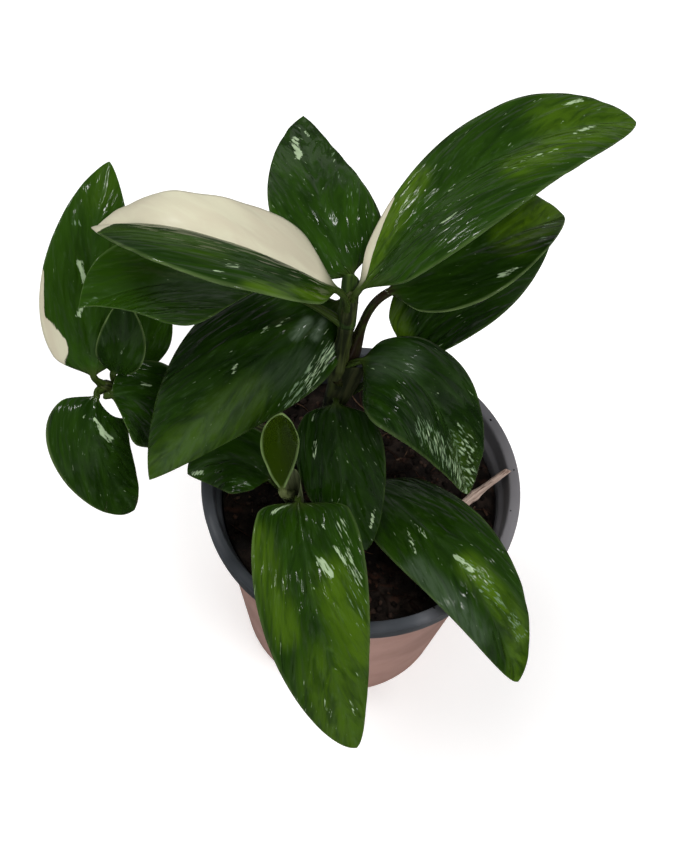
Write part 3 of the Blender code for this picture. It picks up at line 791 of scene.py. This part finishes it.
def twig_material():
    net = Finish("dry_stick", specular=0.2)
    bark = net.field("bark", "Vector")
    along = net.grain(bark, (2.5, 2.5, 0.5), 4.0, 0.6)
    mottle = net.grain(bark, (1.2, 1.2, 1.6), 3.0, 0.6, (5, 3, 1))
    colour = net.blend(net.between(along, 0.35, 0.65), *STICK_TANS)
    colour = net.blend(net.between(mottle, 0.5, 0.64, 0.0, 0.8), colour, STICK_MOTTLE)
    return net.done(colour, 0.82, along, strength=0.7, distance=0.0005)


def stem_path(name):
    """The stem's centre line and its radius at each row."""
    points, radii, _ = STEMS[name]
    return smooth_run(points, radii, STEM_STEPS)


def leaf_axis(leaf):
    """Rows from the stem to the tip: s (below 0 on the stalk), place, left side and up."""
    base, mid, tip = (np.array(leaf[key], float) for key in ("base", "mid", "tip"))
    middle = 2 * mid - (base + tip) / 2
    s = (1 - np.cos(np.pi * np.arange(BLADE_ROWS) / BLADE_ROWS)) / 2
    centre = bezier((base, middle, tip), s)
    along = unit((middle - base) * (1 - s)[:, None] + (tip - middle) * s[:, None])
    face = unit(leaf["face"])
    face_tip = unit(leaf.get("face_tip", leaf["face"]))
    side = unit(np.cross(face + (face_tip - face) * s[:, None], along))

    run = stem_path(leaf["stem"])[0]
    root = np.array([np.interp(leaf["height"], run[:, 2], run[:, axis]) for axis in range(3)])
    reach = np.linalg.norm(base - root) * STALK_HANDLE
    rising = unit(unit(base - root) + np.array([0, 0, STALK_RISE]))
    leave = leaf.get("leave", root + rising * reach)
    t = np.arange(STALK_ROWS + 1) / STALK_ROWS
    stalk = bezier((root, leave, base - unit(middle - base) * reach, base), t)
    stalk_along = unit(np.gradient(stalk, axis=0))
    stalk_side = np.empty_like(stalk)
    carried = side[0]
    for row in range(STALK_ROWS, -1, -1):
        carried = unit(carried - stalk_along[row] * (carried @ stalk_along[row]))
        stalk_side[row] = carried

    place = np.vstack([stalk[:-1], centre])
    sides = np.vstack([stalk_side[:-1], side])
    ups = np.cross(np.vstack([stalk_along[:-1], along]), sides)
    return np.concatenate([t[:-1] - 1, s]), place, sides, ups


def leaf_fields(leaf, s, length, across, half_width, top):
    """The leaf's soft masks from 0 to 1. That of a mark falls with the distance from its line."""
    fields = {kind: np.zeros(half_width.shape) for kind in MARK_KINDS}
    out = across * half_width
    here = together(length[:, None], out)

    def spot(at, u):
        return np.array([np.interp(at, s, length), u * np.interp(at, s, half_width[:, 0])])

    for kind in MARK_KINDS:
        for *ends, reach, strength in leaf.get(kind, ()):
            a, b = spot(*ends[:2]), spot(*ends[2:])
            line = b - a
            t = np.clip((here - a) @ line / max(line @ line, 1e-6), 0, 1)
            far = np.linalg.norm(here - a - t[..., None] * line, axis=-1) / reach
            mask = strength * (1 - smooth_step(far, *MARK_FADE))
            fields[kind] = np.maximum(fields[kind], mask)
    if leaf["cream_half"]:
        fields["cream"] = np.maximum(fields["cream"], smooth_step(-out, -0.3, 0.3))
    strength, edge_width = leaf["edge"]
    inward = (1 - np.abs(across)) * half_width
    margin = 1 - smooth_step(inward, edge_width * 0.4, edge_width)
    wide = np.ones(half_width.shape)
    fields["under"] = np.where(top, 0.0, 1.0) * wide
    fields["stalk"] = smooth_step(-s, -0.07, 0.0)[:, None] * wide
    fields["margin"] = strength * margin * (s[:, None] > 0.04)
    fields["rib"] = leaf["crease"] * np.exp(-((out / RIB_LINE) ** 2)) * (s[:, None] > 0)
    return fields


def blade_form(leaf, blade, across):
    """Half the width at each point, and how far out and up a point lies, in half widths."""

    def along(key):
        return leaf[key] + (leaf.get(key + "_tip", leaf[key]) - leaf[key]) * blade

    widest, tip_power = leaf["widest"], leaf["point"]
    base_power = tip_power * widest / (1 - widest)
    outline = (blade / widest) ** base_power * ((1 - blade) / (1 - widest)) ** tip_power
    skew = along("skew") + 4 * leaf["skew_mid"] * blade * (1 - blade)
    half_width = outline * leaf["width"] / 2 * (1 + skew * np.sign(across))
    fold = np.radians(along("fold"))
    curl = math.radians(leaf["curl"])
    bend = curl * np.abs(across)
    reach = (np.sin(fold) - np.sin(fold - bend)) / curl
    rise = (np.cos(fold - bend) - np.cos(fold)) / curl
    return half_width, reach, rise


def blade_relief(seed, blade, across, half_width, vein):
    """Pleats between the side veins, uneven swellings and a wavy margin, none near the ends."""
    pleat = np.sin(vein * math.tau / PLEAT_GAP) * np.abs(across) * (1.2 - np.abs(across))
    waves = lattice_noise(together(blade * WAVES_ALONG, np.sign(across), seed), 1.0, seed)
    long, wide = PUCKER_CELL
    spots = together(vein / long, across * half_width / wide, seed * 3.0)
    pucker = PUCKER * (lattice_noise(spots, 1.0, 5) - 0.5)
    relief = PLEAT_HEIGHT * pleat + pucker + MARGIN_WAVE * (waves - 0.5) * 2 * across**2
    return relief * smooth_step(blade, 0.02, 0.12) * smooth_step(1 - blade, 0, 0.1)


def leaf_piece(name, seed):
    """A leaf from its stem to its tip, as one closed skin over a grid of rows and columns.

    Row s lies on a Bezier midrib. Half its width is (s/w)^a ((1-s)/(1-w))^b, with w the place of
    greatest width. Each half leaves the midrib at the fold angle and bends down evenly by the
    curl angle. The upper face has a groove along the midrib and the lower face a rib. Side
    veins run out and towards the tip, and lift the blade a little in pleats.
    """
    leaf = {**PLAIN_LEAF, **LEAVES[name]}
    s, place, side, up = leaf_axis(leaf)
    length = path_length(place)
    length -= length[STALK_ROWS]
    blade = np.clip(s, 0, 1)[:, None]
    spread = np.linspace(1, -1, 2 * HALF_COLUMNS + 1)
    half = np.sign(spread) * np.abs(spread) ** COLUMN_POWER
    across = np.concatenate([half, half[::-1]])[None, :]
    columns = across.size
    top = np.arange(columns) < half.size
    half_width, reach, rise = blade_form(leaf, blade, across)

    out = np.abs(across) * half_width
    relative = out / (leaf["width"] / 2)
    arch = leaf["width"] / 2 * (VEIN_START * relative + VEIN_ARCH * relative**2)
    vein = np.maximum(length, 0)[:, None] - arch
    slim = np.sqrt(1 - blade) * leaf["crease"]
    depth = BLADE_THICKNESS / 2 * (1 - MARGIN_THINNING * across**4)
    groove = GROOVE_DEPTH * np.exp(-((out / GROOVE_WIDTH) ** 2)) * slim
    rib = RIB_DEPTH * np.exp(-((out / RIB_WIDTH) ** 2)) * slim
    lift = blade_relief(seed, blade, across, half_width, vein)
    lift = lift + np.where(top, depth - groove, -depth - rib)
    skin = about(place, side, up, np.sign(across) * reach * half_width, rise * half_width + lift)

    angle = math.tau * (np.arange(columns) + 0.5) / columns
    channel = 1 - STALK_CHANNEL * np.maximum(np.sin(angle), 0) ** 8
    foot = 1 + leaf["foot"] * smooth_step(-s, 0.4, 1.0)
    radius = leaf["stalk"] * channel * foot[:, None]
    stalk = about(place, side, up, np.cos(angle) * radius, np.sin(angle) * radius)
    fade = np.where(s[:, None] < 0, 1.0, np.maximum(0, 1 - blade / STALK_FADE) ** 2)
    grid = skin * (1 - fade[..., None]) + stalk * fade[..., None]
    last = np.array(leaf["tip"], float) + (grid[-1:] - grid[-1:].mean(axis=1)) * TIP_SHRINK
    grid = np.concatenate([grid, last])

    fields = leaf_fields(leaf, s, length, across, half_width, top)
    fields = {key: np.concatenate([values, values[-1:]]) for key, values in fields.items()}
    stalk_uv = together(5 * np.cos(angle), length[:, None] / 4)
    uv = np.where(s[:, None, None] < 0, stalk_uv, together(vein, across * half_width)) * CM
    uv = np.concatenate([uv, uv[-1:]])
    material = leaf_material(name + "_skin", leaf, seed)
    piece = closed_skin(name + "_blade", grid, [material], fields, uv, flip=True)
    return dress(piece, name)


def bark_tube(run, radii, reference, columns, ridges, seed):
    """Rings round a path, with shallow ridges along it, and each point's place on the bark."""
    along = unit(np.gradient(run, axis=0))
    side = unit(np.cross(reference, along))
    up = np.cross(along, side)
    angle = turns(columns)
    bark = polar(1, angle, path_length(run)[:, None] * CM)
    uneven = lattice_noise(bark * np.array(BARK_STRETCH), BARK_CELL, seed) - 0.5
    radius = radii[:, None] * (1 + ridges * uneven * 2)
    return about(run, side, up, bark[..., 0] * radius, bark[..., 1] * radius), bark


def stem_piece(name):
    """A stem along a smooth curve, swollen into a ring where each leaf leaves it."""
    run, radii = stem_path(name)
    height = run[:, 2]
    swell = np.zeros(len(run))
    for leaf in LEAVES.values():
        if leaf["stem"] == name:
            swell += np.exp(-(((height - leaf["height"]) / NODE_LENGTH) ** 2))
    rings = 0.04 * np.sin(height * 0.9) * (swell < 0.3)
    radii = radii * (1 + NODE_SWELL * np.minimum(swell, 1) + rings)
    radii[-3:] *= STEM_TOP
    grid, bark = bark_tube(run, radii, (0, 1, 0), STEM_COLUMNS, STEM_RIDGES, len(name))
    material = stem_material(name + "_skin", *STEMS[name][2])
    return dress(closed_skin(name + "_bark", grid, [material], {"bark": bark}), name)


def sheath_piece(name, place, axis, back, foot, mouth, height, greens):
    """An open sheath that wraps the foot of a leaf stalk and stands highest at its back.

    Rows go round part of a widening tube, and each ring runs up its outside and down its inside.
    """
    turn = np.radians(np.linspace(-SHEATH_TURN, SHEATH_TURN, SHEATH_ROWS))[:, None]
    climb = np.linspace(0, 1, SHEATH_STEPS)
    rise = np.concatenate([climb, climb[::-1]])[None, :]
    wall = np.concatenate([0 * climb, SHEATH_WALL * (1 - 0.7 * climb[::-1])])
    tall = height * (0.35 + 0.65 * np.cos(turn / 2) ** 1.5) * rise
    uneven = lattice_noise(together(turn * 2, rise * 2, 0.5), 1.0, 3)
    radius = (foot + (mouth - foot) * rise**0.7 - wall) * (0.95 + 0.1 * uneven)
    axis = unit(axis)
    side = unit(np.cross(back, axis))
    out = np.cos(turn)[..., None] * np.cross(axis, side) + np.sin(turn)[..., None] * side
    grid = np.array(place, float) + axis * tall[..., None] + out * radius[..., None]
    bark = polar(1, turn, tall * CM)
    skin = stem_material(name + "_skin", brown_to=90, green_from=105, greens=greens)
    return dress(closed_skin(name, grid, [skin], {"bark": bark}))


def twig_piece():
    """A dry stick with a knot and slanting broken ends."""
    run, radii = smooth_run(TWIG_POINTS, TWIG_RADII, TWIG_STEPS)
    t = np.linspace(0, 1, len(run))
    radii = radii * (1 + KNOT_SWELL * np.exp(-(((t - KNOT_PLACE) / KNOT_LENGTH) ** 2)))
    grid, bark = bark_tube(run, radii, (0, 0, 1), TWIG_COLUMNS, TWIG_RIDGES, 5)
    slant = (bark[..., :1] * 0.7 + bark[..., 1:2] * 0.4) * 0.9
    ends = np.exp(-t / 0.02) - np.exp(-(1 - t) / 0.02)
    grid = grid + slant * (unit(np.gradient(run, axis=0)) * ends[:, None])[:, None]
    piece = closed_skin("twig_bark", grid, [twig_material()], {"bark": bark})
    return dress(piece, "twig")


def inner_radius(height):
    """The pot's inside radius at this height, below the collar."""
    return BASE_RADIUS + (BODY_TOP_RADIUS - BASE_RADIUS) * height / COLLAR_BOTTOM - POT_WALL


def pot_profile(points):
    """The profile with a small quadratic curve at each inner corner and no long stretches."""
    points = np.asarray(points, float)
    out = [points[:1]]
    t = np.linspace(0, 1, 5)
    for before, corner, after in zip(points, points[1:], points[2:]):
        back, ahead = before - corner, after - corner
        reach = min(CORNER_RADIUS, 0.45 * np.linalg.norm(back), 0.45 * np.linalg.norm(ahead))
        out.append(bezier((corner + unit(back) * reach, corner, corner + unit(ahead) * reach), t))
    points = np.vstack([*out, points[-1:]])
    out = [points[:1]]
    for a, b in zip(points, points[1:]):
        count = max(1, math.ceil(np.linalg.norm(b - a) / LONGEST_STEP))
        out.append(a + (b - a) * (np.arange(1, count + 1) / count)[:, None])
    return np.vstack(out)


def pot_piece():
    """The pot: a rounded profile turned about Z, with drain holes cut through its floor."""
    raised = RECESS_HEIGHT + POT_WALL
    foot_inner = BASE_RADIUS - FOOT_WIDTH
    lip_inner = RIM_RADIUS - LIP_WIDTH
    skirt_outer = RIM_RADIUS - COLLAR_TAPER
    fold = (BODY_TOP_RADIUS + 1.7, COLLAR_BOTTOM + 1)
    grey = pot_profile([
        (0.4, POT_WALL), (DISC_RADIUS - 1, POT_WALL), (DISC_RADIUS + 1, raised),
        (foot_inner - 1, raised), (foot_inner + 1, POT_WALL), (inner_radius(POT_WALL), POT_WALL),
        (inner_radius(COLLAR_BOTTOM - 1), COLLAR_BOTTOM - 1),
        (lip_inner - 0.9, COLLAR_BOTTOM + 1.2),
        (lip_inner, POT_HEIGHT - 1.2), (lip_inner + 0.5, POT_HEIGHT - 0.2),
        (lip_inner + 0.4 * LIP_WIDTH, POT_HEIGHT), (lip_inner + 0.7 * LIP_WIDTH, POT_HEIGHT - 0.2),
        (RIM_RADIUS - 0.3, POT_HEIGHT - LIP_CROWN), (RIM_RADIUS, POT_HEIGHT - LIP_CROWN - 0.9),
        (skirt_outer, COLLAR_BOTTOM + 0.5), (skirt_outer - 0.4, COLLAR_BOTTOM),
        (skirt_outer - SKIRT_THICKNESS, COLLAR_BOTTOM),
        (RIM_RADIUS - SKIRT_THICKNESS - 0.4, POT_HEIGHT - 3.4),
        (lip_inner + POT_WALL, POT_HEIGHT - 3.4), fold,
    ])
    pink = pot_profile([
        fold, (BODY_TOP_RADIUS, COLLAR_BOTTOM - 1), (BASE_RADIUS + 0.3, 2.2),
        (BASE_RADIUS - 0.8, 0), (foot_inner + 0.6, 0), (foot_inner - 0.6, RECESS_HEIGHT),
        (DISC_RADIUS + 0.6, RECESS_HEIGHT), (DISC_RADIUS - 0.6, 0), (0.4, 0),
    ])
    profile = np.vstack([grey, pink[1:]])
    angle = turns(POT_COLUMNS)
    radius, height = profile[:, :1], profile[:, 1:]
    unround = 0.12 * np.sin(2 * angle + 0.6) + 0.07 * np.sin(5 * angle)
    radius = radius + smooth_step(height, 60, POT_HEIGHT) * unround
    materials = [
        plastic_material("grey_collar", COLLAR_GREYS, 0.5, dust_and_painted_light=COLLAR_DUST_AND_LIGHT),
        plastic_material("terracotta_body", TERRACOTTAS, 0.55, haze=TERRACOTTA_HAZE),
    ]
    body = closed_skin("pot_wall", polar(radius, angle, height), materials, flip=True)
    row = np.repeat(np.arange(len(profile) - 1), POT_COLUMNS)
    slots = np.zeros(len(body.data.polygons), np.int32)
    slots[: row.size] = row >= len(grey) - 1
    slots[row.size + 1 :: 2] = 1
    body.data.polygons.foreach_set("material_index", slots)
    cutters = [cut_hole(body, turn) for turn in turns(DRAIN_HOLES) + DRAIN_TURN]
    evaluated = body.evaluated_get(bpy.context.evaluated_depsgraph_get())
    cut_mesh = bpy.data.meshes.new_from_object(evaluated)
    body.modifiers.clear()
    body.data = cut_mesh
    for cutter in cutters:
        bpy.data.objects.remove(cutter, do_unlink=True)
    body.data.set_sharp_from_angle(angle=math.radians(50))
    return dress(body, "pot")


def cut_hole(body, turn):
    """Cuts one drain hole at this angle, and hands back the cutter."""
    x, y = DRAIN_RING_RADIUS * math.cos(turn), DRAIN_RING_RADIUS * math.sin(turn)
    bpy.ops.mesh.primitive_cylinder_add(
        vertices=28,
        radius=DRAIN_HOLE_RADIUS * MM,
        depth=4 * RECESS_HEIGHT * MM,
        location=(x * MM, y * MM, RECESS_HEIGHT * MM),
    )
    cutter = bpy.context.active_object
    modifier = body.modifiers.new("drain", "BOOLEAN")
    modifier.operation = "DIFFERENCE"
    modifier.object = cutter
    return cutter


def soil_surface(x, y):
    """Crossing waves, sunk a little beside the wall, with ridged noise of three sizes on them."""
    broad = 1.0 * np.sin(0.11 * x + 0.8) * np.cos(0.1 * y - 0.4)
    lumps = 0.7 * np.sin(0.31 * x - 0.2 * y + 1.1) + 0.5 * np.sin(0.24 * y + 0.37 * x)
    sunk = 1.2 * np.maximum(0.0, np.hypot(x, y) / 52 - 0.8) / 0.2
    flat = together(x, y, 0.0)
    crumbs = sum(
        height * (1 - 2 * np.abs(lattice_noise(flat, cell, seed) - 0.5))
        for height, cell, seed in SOIL_LUMPS
    )
    return SOIL_LEVEL + broad + lumps - sunk + crumbs - 1.0


def soil_piece():
    """The root ball: a crumbly disc of rings, a side clear of the wall and a flat underside."""
    angle = turns(SOIL_COLUMNS)
    edge = inner_radius(SOIL_LEVEL - 3) - SOIL_GAP
    radius = edge * (np.arange(1, SOIL_RINGS + 1)[:, None] / SOIL_RINGS) ** 0.8
    x, y = radius * np.cos(angle), radius * np.sin(angle)
    top = together(x, y, soil_surface(x, y))
    underside = RECESS_HEIGHT + POT_WALL + SOIL_GAP
    height = np.linspace(SOIL_LEVEL - 6, underside, 8)[:, None]
    radius = inner_radius(height) - SOIL_GAP
    wall = polar(radius, angle, height)
    low = wall[-1:] * np.array([0.3, 0.3, 1])
    piece = closed_skin("soil_bed", np.concatenate([top, wall, low]), [soil_material()], flip=True)
    return dress(piece, "soil")


def turned_copies(shape, places, sizes, rng):
    """Points of copies of a small shape, each with its own size, place and random turn."""
    quaternion = unit(rng.normal(size=(len(places), 1, 4)))
    real, axis = quaternion[..., :1], quaternion[..., 1:]
    local = shape[None] * sizes[:, None]
    turned = local + 2 * np.cross(axis, np.cross(axis, local) + real * local)
    return turned + places[:, None]


def pebble():
    """A rough ball: the twelve corners of an icosahedron pushed in and out."""
    golden = (1 + 5**0.5) / 2
    oblong = [(-1, golden, 0), (1, golden, 0), (-1, -golden, 0), (1, -golden, 0)]
    points = unit(np.vstack([np.roll(oblong, shift, axis=1) for shift in range(3)]))
    points *= (0.75 + 0.5 * lattice_noise(points * 3, 1.0, 8))[:, None]
    faces = [
        (0, 11, 5), (0, 5, 1), (0, 1, 7), (0, 7, 10), (0, 10, 11), (1, 5, 9), (5, 11, 4),
        (11, 10, 2), (10, 7, 6), (7, 1, 8), (3, 9, 4), (3, 4, 2), (3, 2, 6), (3, 6, 8), (3, 8, 9),
        (4, 9, 5), (2, 4, 11), (6, 2, 10), (8, 6, 7), (9, 8, 1),
    ]
    return points, faces


def scatter(name, places, sizes, shade_top, material, rng):
    """One piece of pebbles at these places, of these sizes, each with its own turn and shade."""
    shape, faces = pebble()
    points = turned_copies(shape, places, sizes, rng)
    first = (np.arange(len(places)) * len(shape))[:, None, None]
    faces = (np.array(faces) + first).reshape(-1, 3).tolist()
    shade = np.repeat(rng.random(len(places)) * shade_top, len(shape))
    piece = build_mesh(name, points.reshape(-1, 3), faces, [material], {"shade": shade})
    return dress(piece)


def on_soil(count, rng, lift):
    """Random places spread evenly over the soil, lifted a little from its surface."""
    radius = (inner_radius(SOIL_LEVEL) - 2.5) * np.sqrt(rng.random(count))
    angle = math.tau * rng.random(count)
    x, y = radius * np.cos(angle), radius * np.sin(angle)
    return together(x, y, soil_surface(x, y) + lift)


def soil_bits(name, count, material, rng, small, large, flat):
    """Bits strewn over the soil, of random sizes from small to large, and most of them small."""
    sizes = (small + (large - small) * rng.random((count, 1)) ** 2) * np.array([flat])
    sizes = sizes * (0.7 + 0.6 * rng.random((count, 3)))
    return scatter(name, on_soil(count, rng, 0.2), sizes, 1.0, material, rng)


def soil_fibres(material, rng):
    """Thin root and coir fibres: three-sided tubes along shallow arcs over the soil."""
    middle = on_soil(FIBRE_COUNT, rng, 0.3)[:, None]
    turn = math.tau * rng.random((FIBRE_COUNT, 1))
    half = 2.5 + 6.5 * rng.random((FIBRE_COUNT, 1)) ** 2
    bow = rng.normal(size=(FIBRE_COUNT, 1)) * 0.35
    t = np.linspace(-1, 1, FIBRE_ROWS)
    ahead, aside = together(np.cos(turn), np.sin(turn)), together(-np.sin(turn), np.cos(turn), 0)
    flat = middle[..., :2] + ahead * (half * t)[..., None]
    flat = flat + aside[..., :2] * (half * bow * (1 - t**2))[..., None]
    far = np.linalg.norm(flat, axis=-1, keepdims=True)
    flat = flat * np.minimum(1, (inner_radius(SOIL_LEVEL) - 1.5) / np.maximum(far, 1e-6))
    x, y = flat[..., 0], flat[..., 1]
    height = soil_surface(x, y).mean(axis=1, keepdims=True)
    height = height + 0.7 + 0.5 * (1 - t**2) + rng.normal(size=(FIBRE_COUNT, 1)) * 0.2
    thickness = (0.12 + 0.2 * rng.random((FIBRE_COUNT, 1))) * (1 - 0.7 * t**4)
    angle = turns(FIBRE_COLUMNS)[:, None]
    ring = aside[:, None] * np.cos(angle) + np.array([0, 0, 1.0]) * np.sin(angle)
    points = together(x, y, height)[:, :, None] + ring * thickness[..., None, None]
    faces = []
    for first in range(0, FIBRE_COUNT * FIBRE_ROWS * FIBRE_COLUMNS, FIBRE_ROWS * FIBRE_COLUMNS):
        faces += [face[::-1] for face in ring_faces(FIBRE_ROWS, FIBRE_COLUMNS, first)]
        last = first + (FIBRE_ROWS - 1) * FIBRE_COLUMNS
        faces += [[first, first + 1, first + 2], [last + 2, last + 1, last]]
    shade = np.repeat(rng.random(FIBRE_COUNT), FIBRE_ROWS * FIBRE_COLUMNS)
    piece = build_mesh("soil_fibres", points.reshape(-1, 3), faces, [material], {"shade": shade})
    return dress(piece)


def rim_specks(material, rng):
    """A few soil crumbs left on the lip."""
    angle = rng.uniform(-1.2, 1.9, RIM_SPECK_COUNT)
    radius = RIM_RADIUS - rng.uniform(0.8, LIP_WIDTH - 0.6, RIM_SPECK_COUNT)
    height = POT_HEIGHT + 0.05 - np.maximum(0, radius - RIM_RADIUS + 2) * 0.35
    sizes = rng.uniform(0.25, 0.75, (RIM_SPECK_COUNT, 1))
    sizes = sizes * rng.uniform(0.7, 1.2, (RIM_SPECK_COUNT, 3))
    return scatter("rim_specks", polar(radius, angle, height), sizes, 0.5, material, rng)


def make_soil():
    rng = np.random.default_rng(RNG_SEED)
    soil_piece()
    crumbs = chip_material("soil_crumbs", CRUMB_BROWNS, 0.9)
    chips = chip_material("bark_chips", CHIP_BROWNS, 0.85)
    fibres = chip_material("coir_fibres", FIBRE_BROWNS, 0.85)
    soil_bits("soil_crumbs", CRUMB_COUNT, crumbs, rng, small=0.5, large=1.6, flat=(1, 1, 0.8))
    soil_bits("bark_chips", CHIP_COUNT, chips, rng, small=0.8, large=3.2, flat=(1, 0.5, 0.3))
    soil_fibres(fibres, rng)
    rim_specks(crumbs, rng)


def make_plant():
    for seed, name in enumerate(LEAVES, 1):
        leaf_piece(name, seed)
    for name in STEMS:
        stem_piece(name)
    for name, values in SHEATHS.items():
        sheath_piece(name, *values)


def make_ground():
    net = Finish("pale_floor", specular=0.1)
    cloud = net.noise(net.place(), 3.0)
    net.feed(net.shader["Emission Color"], (1, 1, 1))
    net.feed(net.shader["Emission Strength"], 0.3)
    material = net.done(net.blend(cloud, *FLOOR_GREYS), 0.9)
    corners = [(-1, -1, 0), (1, -1, 0), (1, 1, 0), (-1, 1, 0)]
    floor = build_mesh("floor", np.array(corners) * FLOOR_HALF, [[0, 1, 2, 3]], [material])
    floor.visible_glossy = False


def set_in_scene(name, data, place, right, up, back):
    """A camera or lamp at this place in metres, with these axes."""
    made = bpy.data.objects.new(name, data)
    turn = Matrix(np.column_stack([right, up, back]).tolist()).to_4x4()
    made.matrix_world = Matrix.Translation(place) @ turn
    bpy.context.scene.collection.objects.link(made)
    return made


def make_camera():
    """The photo's view: looking down at CAMERA_TILT and rolled about its own axis."""
    ahead = np.array([0, math.cos(CAMERA_TILT), -math.sin(CAMERA_TILT)])
    level = np.array([1.0, 0, 0])
    right = math.cos(CAMERA_ROLL) * level + math.sin(CAMERA_ROLL) * np.cross(level, ahead)
    data = bpy.data.cameras.new("camera")
    data.sensor_fit = "VERTICAL"
    data.sensor_height = SENSOR
    data.lens = CAMERA_LENS
    data.clip_start = 0.01
    place = np.array(CAMERA_PLACE) * MM
    camera = set_in_scene("camera", data, place, right, np.cross(right, ahead), -ahead)
    bpy.context.scene.camera = camera


def make_lamp(name, place, aim_height, size, power, mirrored):
    data = bpy.data.lights.new(name, "AREA")
    data.shape = "DISK"
    data.size = size
    data.energy = power
    away = unit(np.array(place) - np.array([0, 0, aim_height]))
    across = unit(np.cross((0.0, 1.0, 0.02), away))
    lamp = set_in_scene(name, data, place, across, np.cross(away, across), away)
    lamp.visible_glossy = mirrored


def make_light():
    """Soft light from above, with a sky that is pale at the horizon and dim elsewhere."""
    world = bpy.data.worlds.new("studio")
    bpy.context.scene.world = world
    world.use_nodes = True
    net = Nodes(world.node_tree)
    height = net.axis(net.place("Generated"), 2)
    sky = net.blend(net.between(height, 0.05, 0.6), HORIZON, ZENITH)
    sky = net.blend(net.between(height, -0.15, 0.02), BELOW, sky)
    background = world.node_tree.nodes["Background"].inputs
    net.feed(background["Color"], sky)
    net.feed(background["Strength"], 0.8)
    for name, values in LAMPS.items():
        make_lamp(name, *values)
    bpy.context.scene.view_settings.view_transform = "Standard"


streaks_group()
blade_group()
mottle_group()
make_camera()
make_light()
make_ground()
pot_piece()
make_soil()
twig_piece()
make_plant()
